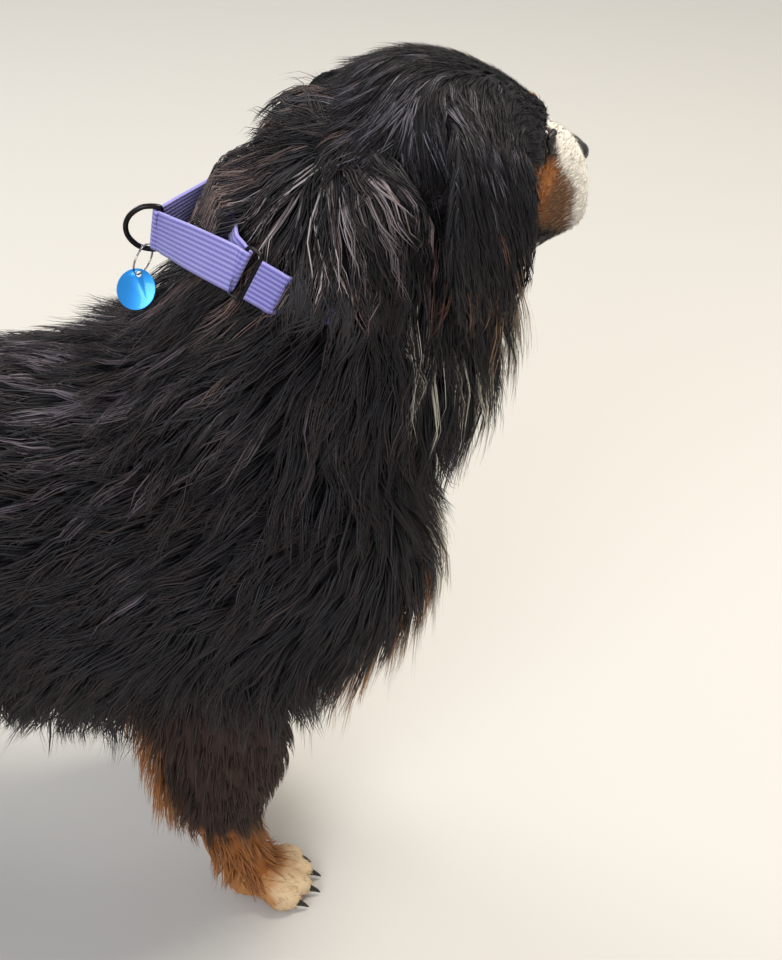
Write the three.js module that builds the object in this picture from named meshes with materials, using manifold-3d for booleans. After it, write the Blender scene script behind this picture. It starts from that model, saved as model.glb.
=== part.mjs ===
// A Bernese mountain dog, life size, standing with its head high and turned to its left.
// Millimetres, +Z up. The dog faces +X and its left side is +Y. The origin is on the floor,
// under the middle of the whole animal. Places are first counted from the right forefoot along
// the body and from the middle of the body across it, and MIDDLE moves them to the origin.
import * as THREE from "three";
import { mergeVertices } from "three/addons/utils/BufferGeometryUtils.js";
import Module from "manifold-3d";

const wasm = await Module();
wasm.setup();

// Driving sizes of the animal
const STANCE_HALF = 92;
const MIDDLE = [219.5, 0];
const HEAD_AT = [181, 38, 784];
const HEAD_YAW = THREE.MathUtils.degToRad(41);
const HEAD_PITCH = THREE.MathUtils.degToRad(25);
const EYE_RADIUS = 12;
const STRAP_WIDE = 38;
const STRAP_THICK = 2.6;
const TAG_RADIUS = 17.5;
const GAP = 0.35;

// Coat: how far the locks stand over the core, and how deep their roots are sunk in it
const COAT_RISE = 17;
const ROOT_SUNK = 9;
const EDGE_GROWTH = 15;

const X = new THREE.Vector3(1, 0, 0);
const Y = new THREE.Vector3(0, 1, 0);
const v3 = (p) => new THREE.Vector3(p[0], p[1], p[2]);

// A seeded random number generator, so that every run gives the same coat
function seeded(seed) {
  let state = seed;
  return () => {
    state = (state + 0x6d2b79f5) | 0;
    let t = Math.imul(state ^ (state >>> 15), 1 | state);
    t = (t + Math.imul(t ^ (t >>> 7), 61 | t)) ^ t;
    return ((t ^ (t >>> 14)) >>> 0) / 4294967296;
  };
}

// A smooth line through a list of sizes, read from 0 to 1
function sizeLine(sizes) {
  const line = new THREE.SplineCurve(sizes.map((s, i) => new THREE.Vector2(i, s)));
  return (t) => line.getPoint(t).y;
}

// A surface drawn out along a path. Round it, wide is the half size along side, tall the reach
// towards path direction x side, and low the reach the other way. cup bends its edges to the low side.
function drawn({ path, wide, tall, low, side = Y, capStart = 40, capEnd = 40, square = 2, cup = 0, grow = 0 }) {
  const curve = new THREE.CatmullRomCurve3(path.map(v3), false, "catmullrom", 0.5);
  const total = curve.getLength();
  const wideAt = sizeLine(wide);
  const tallAt = sizeLine(tall);
  const lowAt = sizeLine(low ?? tall);
  const start = capStart / total;
  const end = capEnd / total;
  const round = (t) => {
    const a = Math.min(1, t / start);
    const b = Math.min(1, (1 - t) / end);
    return Math.sqrt(1 - (1 - a) ** 2) * Math.sqrt(1 - (1 - b) ** 2);
  };
  const power = 2 / square;
  function point(t, angle) {
    const s = THREE.MathUtils.clamp(t, 0, 1);
    const centre = curve.getPoint(s);
    const along = curve.getTangent(s);
    const up = new THREE.Vector3().crossVectors(along, side).normalize();
    const across = new THREE.Vector3().crossVectors(up, along).normalize();
    const c = Math.cos(angle);
    const n = Math.sin(angle);
    const shrink = round(s);
    const a = (wideAt(s) * shrink + grow) * Math.sign(c) * Math.abs(c) ** power;
    const reach = n > 0 ? tallAt(s) : lowAt(s);
    const b = (reach * shrink + grow) * Math.sign(n) * Math.abs(n) ** power - cup * shrink * c * c;
    centre.addScaledVector(along, s === 0 ? -grow : s === 1 ? grow : 0);
    const pole = s === 0 || s === 1 ? 0 : 1;
    return centre.addScaledVector(across, a * pole).addScaledVector(up, b * pole);
  }
  function frameAt(t, angle) {
    const step = 0.004;
    const s = THREE.MathUtils.clamp(t, 0.02, 0.98);
    const at = point(s, angle);
    const alongT = point(s + step, angle).sub(point(s - step, angle)).divideScalar(2 * step);
    const roundA = point(s, angle + step).sub(point(s, angle - step)).divideScalar(2 * step);
    const normal = new THREE.Vector3().crossVectors(roundA, alongT).normalize();
    if (normal.dot(at.clone().sub(curve.getPoint(s))) < 0) normal.negate();
    return { at, alongT, roundA, normal };
  }
  return { point, frameAt, start, end };
}

// The closed geometry of a drawn surface: a sphere's grid of rows and columns laid on it
function geometryOf(surface, columns, rows, capRows = 3) {
  const geometry = new THREE.SphereGeometry(1, columns, rows);
  const place = geometry.attributes.position;
  const rowAt = (j) => {
    if (j < capRows) return surface.start * (1 - Math.cos((j / capRows) * (Math.PI / 2)));
    if (j > rows - capRows) return 1 - surface.end * (1 - Math.cos(((rows - j) / capRows) * (Math.PI / 2)));
    const share = (j - capRows) / (rows - 2 * capRows);
    return THREE.MathUtils.lerp(surface.start, 1 - surface.end, share);
  };
  for (let j = 0; j <= rows; j++)
    for (let i = 0; i <= columns; i++) {
      const p = surface.point(rowAt(j), ((i % columns) / columns) * 2 * Math.PI);
      place.setXYZ(j * (columns + 1) + i, p.x, p.y, p.z);
    }
  return geometry;
}

// A geometry as a solid, turned right side out
function solidOf(geometry) {
  const bare = geometry.clone();
  bare.deleteAttribute("normal");
  bare.deleteAttribute("uv");
  const merged = mergeVertices(bare, 1e-3);
  const make = (triVerts) =>
    new wasm.Manifold(
      new wasm.Mesh({ numProp: 3, vertProperties: merged.attributes.position.array, triVerts }),
    );
  const triVerts = new Uint32Array(merged.index.array);
  const made = make(triVerts);
  if (made.volume() > 0) return made;
  return make(triVerts.reverse());
}

const joined = (solids) => wasm.Manifold.union(solids);

// The largest closed body of a solid, so that no loose scrap stays
function largest(solid) {
  const bodies = solid.decompose();
  bodies.sort((a, b) => b.volume() - a.volume());
  return bodies[0];
}

function geometryFrom(solid) {
  const mesh = solid.getMesh();
  const geometry = new THREE.BufferGeometry();
  geometry.setAttribute("position", new THREE.BufferAttribute(mesh.vertProperties, 3));
  geometry.setIndex(new THREE.BufferAttribute(mesh.triVerts, 1));
  geometry.computeVertexNormals();
  return geometry;
}

// An ellipsoid bump of a few faces, for toes, lips, brows and lids
function bump(at, radii, columns = 10, rows = 7, turn = [0, 0, 0]) {
  const geometry = new THREE.SphereGeometry(1, columns, rows);
  geometry.scale(...radii);
  geometry.rotateX(turn[0]).rotateY(turn[1]).rotateZ(turn[2]);
  geometry.translate(...at);
  return solidOf(geometry);
}

// One lock of hair: a flat tapered blade that leaves the surface at its root and lies along it.
// lie is the direction that the hair grows in, before it is laid on the surface.
function lock(surface, t, angle, lie, { length, width, thick, rise, sway, grow, steps = 3 }) {
  const spine = [];
  const fine = 4;
  let s = t;
  let a = angle;
  const direction = v3(lie).normalize();
  for (let i = 0; i <= steps * fine; i++) {
    const { at, alongT, roundA, normal } = surface.frameAt(s, a);
    const share = i / (steps * fine);
    const height = THREE.MathUtils.lerp(-ROOT_SUNK, rise, Math.sin(share * Math.PI * 0.5));
    if (i % fine === 0) spine.push({ at: at.clone().addScaledVector(normal, height), normal });
    const turn = sway * Math.sin(share * Math.PI * 2);
    const flat = direction.clone().applyAxisAngle(normal, turn).projectOnPlane(normal).normalize();
    const tt = alongT.dot(alongT);
    const ta = alongT.dot(roundA);
    const aa = roundA.dot(roundA);
    const det = Math.max(1e-6, tt * aa - ta * ta);
    const ft = flat.dot(alongT);
    const fa = flat.dot(roundA);
    const reach = length / (steps * fine);
    s += THREE.MathUtils.clamp((reach * (ft * aa - fa * ta)) / det, -0.05, 0.05);
    a += THREE.MathUtils.clamp((reach * (fa * tt - ft * ta)) / det, -0.2, 0.2);
  }
  return blade(spine, width, thick, 3, grow);
}

// The closed blade round a spine of points and normals, widest near its root. With three sides it
// is flat below with a ridge above, with four a diamond. Its edges are so thin that they grow most.
function blade(spine, width, thick, sides, grow = 0) {
  const steps = spine.length - 1;
  const rows = steps + 1;
  const geometry = new THREE.SphereGeometry(1, sides, rows);
  const place = geometry.attributes.position;
  for (let j = 0; j <= rows; j++) {
    const here = spine[Math.min(j, steps)];
    const before = spine[Math.max(0, Math.min(j, steps) - 1)].at;
    const after = spine[Math.min(steps, j + 1)].at;
    const along = after.clone().sub(before).normalize();
    const across = new THREE.Vector3().crossVectors(along, here.normal).normalize();
    const share = j / rows;
    const taper = Math.sin(Math.PI * (0.22 + 0.72 * share)) ** 0.8;
    const end = j === 0 || j === rows ? 0 : 1;
    const centre = here.at.clone();
    if (j === rows) centre.addScaledVector(along, width * 0.35 + EDGE_GROWTH * grow);
    if (j === 0) centre.addScaledVector(along, -grow);
    for (let i = 0; i <= sides; i++) {
      const angle = ((i % sides) / sides) * 2 * Math.PI + Math.PI / 2;
      const p = centre.clone();
      p.addScaledVector(across, Math.cos(angle) * (width * 0.5 * taper + EDGE_GROWTH * grow) * end);
      p.addScaledVector(here.normal, Math.sin(angle) * (thick * (0.25 + 0.25 * taper) + 2 * grow) * end);
      place.setXYZ(j * (sides + 1) + i, p.x, p.y, p.z);
    }
  }
  return solidOf(geometry);
}

// The trunk, from rump to chest: distance along, top, underline and half width of its core
const TRUNK_ROWS = [
  [-566, 540, 428, 58],
  [-528, 570, 368, 96],
  [-452, 588, 312, 124],
  [-360, 589, 273, 134],
  [-262, 588, 241, 144],
  [-168, 598, 223, 150],
  [-80, 614, 221, 152],
  [0, 612, 238, 148],
  [80, 584, 278, 130],
  [130, 538, 342, 102],
  [160, 500, 400, 70],
];
const TRUNK = {
  path: TRUNK_ROWS.map(([x, top, low]) => [x, 0, (top + low) / 2]),
  tall: TRUNK_ROWS.map(([, top, low]) => (top - low) / 2),
  wide: TRUNK_ROWS.map(([, , , half]) => half),
  capStart: 55,
  capEnd: 60,
  square: 2.2,
};

// The neck rises from the withers. tall is the nape side, low the throat and its bib.
const NECK = {
  path: [[-40, 0, 490], [-10, 0, 570], [30, 0, 640], [72, 2, 698], [118, 14, 750], [158, 30, 792]],
  tall: [98, 96, 82, 84, 104, 84],
  low: [134, 186, 200, 186, 150, 92],
  wide: [118, 120, 106, 86, 100, 80],
  capStart: 70,
  capEnd: 45,
};

const TAIL = {
  path: [
    [-534, 0, 528], [-578, 2, 518], [-620, 6, 470], [-644, 12, 396],
    [-656, 18, 310], [-668, 22, 236], [-690, 24, 180], [-722, 24, 146],
  ],
  tall: [34, 36, 36, 36, 36, 32, 24, 12],
  wide: [36, 38, 38, 38, 38, 34, 26, 12],
  capStart: 30,
  capEnd: 22,
};

// A foreleg from the upper arm to the pastern. side is -1 for the right leg and 1 for the left.
const foreleg = (side, step) => ({
  path: [
    [-20 + step * 0.2, side * 84, 420], [-34 + step * 0.3, side * 94, 316],
    [-35 + step * 0.55, side * 96, 219], [-38 + step * 0.85, side * 94, 135],
    [-28 + step, side * STANCE_HALF, 88], [-14 + step, side * STANCE_HALF, 48], [-6 + step, side * STANCE_HALF, 26],
  ],
  wide: [50, 54, 48, 39, 33, 31, 30],
  tall: [56, 72, 74, 52, 33, 29, 27],
  low: [60, 76, 74, 54, 35, 30, 28],
  capStart: 40,
  capEnd: 20,
});

const thigh = (side, step) => ({
  path: [
    [-486, side * 66, 520], [-482, side * 92, 440], [-450 + step * 0.4, side * 104, 350],
    [-470 + step * 0.6, side * 102, 268],
  ],
  wide: [62, 70, 64, 46],
  tall: [84, 96, 74, 50],
  low: [74, 92, 88, 62],
  capStart: 50,
  capEnd: 40,
});
const hock = (side, step) => ({
  path: [
    [-450 + step * 0.5, side * 100, 320], [-500 + step * 0.8, side * 99, 246],
    [-556 + step, side * 97, 178], [-570 + step, side * 96, 128], [-562 + step, side * 95, 70],
    [-548 + step, side * 94, 28],
  ],
  wide: [50, 42, 33, 30, 30, 30],
  tall: [48, 42, 32, 29, 29, 28],
  low: [52, 46, 37, 32, 30, 27],
  capStart: 36,
  capEnd: 20,
});

// The head's own frame: x towards the nose, y to the dog's left, z up, from the middle of the skull
// HEAD_ROWS, from nape to lips: distance along, top, underline and half width
const HEAD_ROWS = [
  [-108, 36, -46, 52],
  [-82, 52, -62, 66],
  [-46, 63, -73, 76],
  [-6, 66, -79, 79],
  [22, 60, -79, 74],
  [42, 50, -78, 64],
  [60, 39, -78, 56],
  [78, 34, -80, 51],
  [104, 33, -82, 48],
  [134, 31, -75, 46],
  [157, 24, -54, 39],
];
const HEAD = {
  path: HEAD_ROWS.map(([x, top, low]) => [x, 0, (top + low) / 2]),
  tall: HEAD_ROWS.map(([, top, low]) => (top - low) / 2),
  wide: HEAD_ROWS.map(([, , , half]) => half),
  capStart: 36,
  capEnd: 15,
  square: 2.35,
};
// What is pushed in or out of that shape: its place on the left side, its reach and its push
const HEAD_FORMS = [
  { at: [67, 46, 18], reach: 13, push: [-6, -6, 0] }, // eye socket
  { at: [49, 33, 43], reach: 13, push: [4, 4, 4] }, // brow
  { at: [68, 0, 38], reach: 14, push: [-4, 0, -6] }, // stop
  { at: [28, 0, 61], reach: 16, push: [0, 0, -3] }, // furrow of the forehead
  { at: [24, 72, -4], reach: 26, push: [4, 5, 0] }, // cheekbone
  { at: [4, 68, -48], reach: 34, push: [4, 9, -6] }, // jaw muscle and its fur
  { at: [84, 50, 0], reach: 15, push: [0, -6, 0] }, // hollow below the eye
  { at: [106, 46, -62], reach: 22, push: [2, 5, -6] }, // hanging upper lip
  { at: [138, 34, -36], reach: 18, push: [5, 4, -4] }, // cushion of the lip
  { at: [156, 0, -24], reach: 8, push: [-7, 0, 2] }, // cleft below the nose
  { at: [66, 53, -60], reach: 10, push: [-2, -8, 4] }, // corner of the mouth
];
const JAW = {
  path: [[0, 0, -62], [40, 0, -71], [80, 0, -78], [110, 0, -77], [135, 0, -69]],
  tall: [22, 20, 17, 15, 12],
  low: [22, 19, 18, 16, 14],
  wide: [50, 43, 37, 32, 24],
  capStart: 20,
  capEnd: 14,
};
// A hanging ear. The path is its middle line; wide runs fore and aft, tall is half its thickness.
const ear = (side) => ({
  path: [
    [-40, side * 46, 18], [-46, side * 73, 8], [-43, side * 88, -18], [-30, side * 93, -54],
    [-10, side * 90, -92], [8, side * 84, -122],
  ],
  wide: [30, 44, 51, 49, 37, 20],
  tall: [9, 9, 8, 8, 7, 5],
  side: X,
  cup: 9 * side,
  capStart: 26,
  capEnd: 20,
});
const EYES_AT = [62, 39, 17.5];
const NOSE_AT = [150, 0, 13];

const headPlace = new THREE.Matrix4()
  .makeRotationFromEuler(new THREE.Euler(0, HEAD_PITCH, HEAD_YAW, "ZYX"))
  .setPosition(v3(HEAD_AT));

const grown = (shape, by = GAP) => ({ ...shape, grow: by });
const made = (shape, columns, rows, capRows) => solidOf(geometryOf(drawn(shape), columns, rows, capRows));
const inWorld = (solid) => solid.transform(headPlace.elements);

const floorBlock = () => {
  const block = new THREE.BoxGeometry(2400, 1200, 200);
  block.translate(0, 0, -100);
  return solidOf(block);
};

// A foot: a low rounded pad with four toes and their claws, flat below
function foot(x, y) {
  const pad = made(
    {
      path: [[x - 38, y, 22], [x - 12, y, 25], [x + 14, y, 23], [x + 30, y, 19]],
      wide: [27, 34, 37, 31],
      tall: [26, 30, 25, 18],
      capStart: 20,
      capEnd: 14,
    },
    10, 6, 2,
  );
  const toes = [-28, -10, 10, 28].map((off) => {
    const ahead = Math.abs(off) > 20 ? 22 : 33;
    const toe = bump([x + ahead, y + off, 14], [19, 11.5, 16], 7, 4);
    const claw = bump([x + ahead + 17, y + off * 1.05, 8], [8, 3, 4], 4, 3, [0, 0.35, 0]);
    return toe.add(claw);
  });
  return joined([pad, ...toes]);
}

// The coat's locks on one drawn surface: rows and columns of roots over each patch of it.
// from and to count along the surface, around in degrees round it, and lie is the way they grow.
function locksOn(surface, seed, patches, grow = 0) {
  const random = seeded(seed);
  const spread = (by) => (random() - 0.5) * 2 * by;
  const locks = [];
  for (const { from, to, around, rows, columns, lie, length, width, rise = COAT_RISE } of patches)
    for (let r = 0; r < rows; r++)
      for (let c = 0; c < columns; c++) {
        const share = rows > 1 ? r / (rows - 1) : 0.5;
        const turn = (c + (r % 2 ? 0.75 : 0.25) + spread(0.14)) / columns;
        const t = THREE.MathUtils.lerp(from, to, share) + spread(0.01);
        const angle = THREE.MathUtils.degToRad(THREE.MathUtils.lerp(around[0], around[1], turn));
        const size = 1 + spread(0.14);
        const way = lie.map((n) => n + spread(0.14));
        const sway = spread(0.4);
        locks.push(
          lock(surface, t, angle, way, {
            length: length * size,
            width: width * size,
            thick: 13,
            rise,
            sway,
            grow,
          }),
        );
      }
  return locks;
}

// A flat strap along places, each with its point and the direction of its width
function strap(places, width, thick, closed, grow = 0) {
  const count = places.length;
  const rows = closed ? count : count + 1;
  const geometry = closed ? new THREE.TorusGeometry(1, 0.1, 4, rows) : new THREE.SphereGeometry(1, 4, rows);
  const place = geometry.attributes.position;
  const corners = [[1, 1], [-1, 1], [-1, -1], [1, -1]];
  const pick = (i) => (closed ? (i + count) % count : THREE.MathUtils.clamp(i, 0, count - 1));
  const corner = (row, side) => {
    const index = closed ? row % count : pick(row === rows ? count - 1 : row - (row > 0 ? 1 : 0));
    const here = places[index];
    const along = places[pick(index + 1)].at.clone().sub(places[pick(index - 1)].at).normalize();
    const wide = here.wide.clone().addScaledVector(along, -here.wide.dot(along)).normalize();
    const out = new THREE.Vector3().crossVectors(wide, along).normalize();
    const pole = !closed && (row === 0 || row === rows) ? 0 : 1;
    const [w, o] = corners[side % 4];
    const end = !closed && grow > 0 ? (row <= 1 ? -grow : row >= rows - 1 ? grow : 0) : 0;
    return here.at
      .clone()
      .addScaledVector(wide, w * pole * (width / 2 + grow))
      .addScaledVector(out, o * pole * (thick / 2 + grow))
      .addScaledVector(along, end);
  };
  for (let i = 0; i <= 4; i++)
    for (let j = 0; j <= rows; j++) {
      const p = corner(j, i);
      place.setXYZ(closed ? i * (rows + 1) + j : j * 5 + i, p.x, p.y, p.z);
    }
  return solidOf(geometry);
}

// A box round a small piece, with room on every side, to keep the coat clear of it
function blockRound(solid, room = 1.5) {
  const { min, max } = solid.boundingBox();
  const size = max.map((n, i) => n - min[i] + 2 * room);
  const block = new THREE.BoxGeometry(...size);
  block.translate(...max.map((n, i) => (n + min[i]) / 2));
  return solidOf(block);
}

// A closed ring of round wire through points
function wireRing(points, radius, sides = 5) {
  const curve = new THREE.CatmullRomCurve3(points, true, "catmullrom", 0.5);
  const count = points.length * 2;
  const geometry = new THREE.TorusGeometry(1, 0.1, sides, count);
  const place = geometry.attributes.position;
  const middle = points.reduce((sum, p) => sum.add(p), new THREE.Vector3()).divideScalar(points.length);
  const flat = new THREE.Vector3()
    .crossVectors(points[0].clone().sub(middle), points[Math.round(points.length / 4)].clone().sub(middle))
    .normalize();
  for (let i = 0; i <= sides; i++)
    for (let j = 0; j <= count; j++) {
      const t = (j % count) / count;
      const along = curve.getTangent(t);
      const out = new THREE.Vector3().crossVectors(along, flat).normalize();
      const angle = ((i % sides) / sides) * 2 * Math.PI;
      const p = curve
        .getPoint(t)
        .addScaledVector(out, Math.cos(angle) * radius)
        .addScaledVector(flat, Math.sin(angle) * radius);
      place.setXYZ(i * (count + 1) + j, p.x, p.y, p.z);
    }
  return solidOf(geometry);
}

// The collar lies in a tilted plane round the neck: a band from one slide ring round the throat to
// the other, and a control loop over the nape that the lead's ring draws out backwards.
const COLLAR_AT = v3([66, 0, 701]);
const COLLAR_BACK = v3([-0.894, 0, 0.447]);
const COLLAR_UP = v3([0.447, 0, 0.894]);
const COLLAR_FORE = 98;
const COLLAR_SIDE = 103;
const SLIDE_ANGLE = THREE.MathUtils.degToRad(52);
const SLIDE_RING = { half: 22.5, gap: 6.5, wire: 1.7 };
const LEAD_RING = { half: 22, reach: 27, wire: 2.3 };
const LEAD_RING_AT = v3([-62, -6, 722]);
const TAG_AT = v3([-84, -16, 670]);
const TAG_FACE = v3([-0.25, -0.78, 0.58]).normalize();
const TAG_HOLE = { radius: 2.6, inset: 4.6 };
const TAG_RING_WIRE = 0.9;

const onCollar = (angle, out = 0) =>
  COLLAR_AT.clone()
    .addScaledVector(COLLAR_BACK, Math.cos(angle) * (COLLAR_FORE + out))
    .addScaledVector(Y, Math.sin(angle) * (COLLAR_SIDE + out));

// Where a slide ring sits: the bar that the loop turns round, the way to its far bar, and its plane
function slideFrame(side) {
  const bar = onCollar(SLIDE_ANGLE * side, 5.5);
  const towardsThroat = onCollar((SLIDE_ANGLE + 0.12) * side, 3.5).sub(bar);
  const along = towardsThroat.addScaledVector(COLLAR_UP, -towardsThroat.dot(COLLAR_UP)).normalize();
  const bandEnd = bar.clone().addScaledVector(along, 2 * SLIDE_RING.gap + SLIDE_RING.wire + GAP);
  return { bar, along, bandEnd };
}

// The band starts at the far bar of one slide ring and lies round the throat to the other
function bandPlaces() {
  const from = SLIDE_ANGLE + 0.3;
  const to = 2 * Math.PI - from;
  const steps = 20;
  const round = Array.from({ length: steps + 1 }, (_, i) => onCollar(THREE.MathUtils.lerp(from, to, i / steps)));
  return [slideFrame(1).bandEnd, ...round, slideFrame(-1).bandEnd].map((at) => ({ at, wide: COLLAR_UP }));
}

// Half a turn of strap round a bar, from the side of one point to the side of the other
function roundBar(bar, wide, from, radius) {
  const first = from.clone().sub(bar).projectOnPlane(wide).normalize();
  return [0, 0.25, 0.5, 0.75, 1].map((share) => ({
    at: bar.clone().addScaledVector(first.clone().applyAxisAngle(wide, Math.PI * share), radius),
    wide,
  }));
}

function loopPlaces() {
  const turn = LEAD_RING.wire + STRAP_THICK / 2 + GAP * 4;
  const slideTurn = SLIDE_RING.wire + STRAP_THICK / 2 + GAP * 2;
  const leadWide = leadRingFrame().wide;
  const nape = Array.from({ length: 9 }, (_, i) => ({
    at: onCollar(THREE.MathUtils.lerp(-SLIDE_ANGLE + 0.1, SLIDE_ANGLE - 0.1, i / 8)),
    wide: COLLAR_UP,
  }));
  const straight = (a, b, wideA, wideB) =>
    [0.25, 0.5, 0.75].map((share) => ({
      at: a.clone().lerp(b, share),
      wide: wideA.clone().lerp(wideB, share).normalize(),
    }));
  const ends = [1, -1].map((side) => {
    const { bar } = slideFrame(side);
    const inward = COLLAR_AT.clone().sub(bar);
    return roundBar(bar, COLLAR_UP.clone().multiplyScalar(side), inward, slideTurn);
  });
  const lead = roundBar(LEAD_RING_AT, leadWide, LEAD_RING_AT.clone().add(Y), turn);
  const left = ends[0];
  const right = ends[1].slice().reverse();
  const up = (places) => places.map((p) => ({ at: p.at, wide: p.wide.z < 0 ? p.wide.clone().negate() : p.wide }));
  return up([
    ...nape,
    ...left,
    ...straight(left.at(-1).at, lead[0].at, COLLAR_UP, leadWide),
    ...lead,
    ...straight(lead.at(-1).at, right[0].at, leadWide, COLLAR_UP),
    ...right,
  ]);
}

// The flat oval that joins band and loop: two bars as long as the strap is wide
function slideRing(side) {
  const { bar, along } = slideFrame(side);
  const { half, gap, wire } = SLIDE_RING;
  const at = (w, a) => bar.clone().addScaledVector(COLLAR_UP, w).addScaledVector(along, a);
  const corner = half - 1;
  return wireRing(
    [at(0, 0), at(corner, 0.3), at(half, gap), at(corner, 2 * gap - 0.3), at(0, 2 * gap),
      at(-corner, 2 * gap - 0.3), at(-half, gap), at(-corner, 0.3)],
    wire,
    4,
  );
}

// The lead ring is a D: a straight bar in the loop's fold and a round bow behind it
function leadRingFrame() {
  const wide = v3([0.16, -0.1, 0.98]).normalize();
  const back = v3([-0.97, -0.08, 0]).projectOnPlane(wide).normalize();
  const at = (w, b) => LEAD_RING_AT.clone().addScaledVector(wide, w).addScaledVector(back, b);
  const bow = (angle) => at(Math.cos(angle) * LEAD_RING.half, 3 + Math.sin(angle) * (LEAD_RING.reach - 3));
  return { wide, at, bow, low: bow(Math.PI * 0.92) };
}

function leadRing() {
  const { at, bow } = leadRingFrame();
  const { half, wire } = LEAD_RING;
  const arc = Array.from({ length: 7 }, (_, i) => bow((Math.PI * (i + 1)) / 8));
  return wireRing([at(half * 0.5, 0), at(half * 0.93, 0.4), ...arc, at(-half * 0.93, 0.4), at(-half * 0.5, 0), at(0, 0)], wire);
}

// The split ring goes round the lead ring's lowest stretch and through the tag's hole
function tagRing() {
  const { low } = leadRingFrame();
  const hole = tagFrame().hole;
  const rise = low.clone().sub(hole).normalize();
  const top = low.clone().addScaledVector(rise, LEAD_RING.wire + TAG_RING_WIRE + 2 * GAP);
  const radius = top.distanceTo(hole) / 2;
  const middle = top.clone().add(hole).divideScalar(2);
  const across = TAG_FACE.clone().projectOnPlane(rise).normalize();
  const points = Array.from({ length: 8 }, (_, i) => {
    const angle = (2 * Math.PI * i) / 8;
    return middle
      .clone()
      .addScaledVector(rise, Math.cos(angle) * radius)
      .addScaledVector(across, Math.sin(angle) * radius);
  });
  return wireRing(points, TAG_RING_WIRE);
}

// Where the tag hangs: its top direction and the centre of its hole
function tagFrame() {
  const up = v3([0, 0, 1]).projectOnPlane(TAG_FACE).normalize();
  return { up, hole: TAG_AT.clone().addScaledVector(up, TAG_RADIUS - TAG_HOLE.inset) };
}

// The tag is a round disc with a hole near its rim for the split ring
function tagDisc() {
  const disc = new THREE.CylinderGeometry(TAG_RADIUS, TAG_RADIUS, 1.6, 22);
  const hole = new THREE.CylinderGeometry(TAG_HOLE.radius, TAG_HOLE.radius, 6, 8);
  hole.translate(0, 0, -TAG_RADIUS + TAG_HOLE.inset);
  const down = tagFrame().up.negate();
  const across = new THREE.Vector3().crossVectors(TAG_FACE, down);
  const place = new THREE.Matrix4().makeBasis(across, TAG_FACE, down).setPosition(TAG_AT);
  return solidOf(disc).subtract(solidOf(hole)).transform(place.elements);
}

// The head's surface, pushed in and out by its forms on both sides
function headSurface(grow = 0) {
  const plain = drawn(grown(HEAD, grow));
  const pushes = HEAD_FORMS.flatMap(({ at, reach, push }) =>
    (at[1] ? [1, -1] : [1]).map((side) => ({
      at: v3([at[0], at[1] * side, at[2]]),
      push: v3([push[0], push[1] * side, push[2]]),
      reach,
    })),
  );
  const point = (t, angle) => {
    const p = plain.point(t, angle);
    const moved = p.clone();
    for (const form of pushes) moved.addScaledVector(form.push, Math.exp(-p.distanceToSquared(form.at) / form.reach ** 2));
    return moved;
  };
  return { ...plain, point };
}

// Skull, muzzle and hanging lips are one surface. The jaw lies inside the lips, so that the line
// of the mouth is the step between them.
function headCore(grow = 0) {
  return joined([
    solidOf(geometryOf(headSurface(grow), 32, 28, 4)),
    made(grown(JAW, grow), 14, 9),
  ]);
}

function eyeBall(side, grow = 0) {
  return bump([EYES_AT[0], side * EYES_AT[1], EYES_AT[2]], Array(3).fill(EYE_RADIUS + grow), 10, 8);
}

// Upper and lower lids: two thin folds laid on the ball, which leave an almond open between them
function lids(side) {
  const out = v3([0.76, side * 0.63, 0.1]).normalize();
  const along = v3([0.6, -side * 0.76, -0.24]).projectOnPlane(out).normalize();
  const over = new THREE.Vector3().crossVectors(out, along).normalize();
  if (over.z < 0) over.negate();
  const centre = v3([EYES_AT[0], side * EYES_AT[1], EYES_AT[2]]);
  const fold = (lift, half) => {
    const points = [];
    for (let i = 0; i <= 6; i++) {
      const share = i / 3 - 1;
      const bow = lift * (1 - share * share) ** 0.8;
      const flat = centre.clone().addScaledVector(along, share * half).addScaledVector(over, bow);
      const height = Math.sqrt(Math.max(9, (EYE_RADIUS + 1) ** 2 - flat.distanceTo(centre) ** 2));
      const at = flat.addScaledVector(out, height - 1.2);
      points.push({ at, normal: at.clone().sub(centre).normalize() });
    }
    return blade(points, 6.5, 5, 4);
  };
  return [fold(8.6, 13), fold(-7.4, 13)];
}

// The nose leather is flush with the muzzle's top and stands a little out of its front
function noseLeather(grow = 0) {
  const [x, y, z] = NOSE_AT;
  const leather = joined([
    bump([x, y, z], [16 + grow, 19 + grow, 13 + grow], 12, 8),
    bump([x - 1, y, z - 12], [15 + grow, 12 + grow, 12 + grow], 8, 5),
  ]);
  if (grow) return leather;
  const nostrils = [-1, 1].map((side) =>
    bump([x + 13, side * 9, z - 2], [8, 3.4, 4.8], 6, 5, [0, 0, side * 0.6]),
  );
  return leather.subtract(joined(nostrils));
}

const STEPS = { foreRight: 0, foreLeft: -50, hindRight: 22, hindLeft: -30 };

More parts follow.
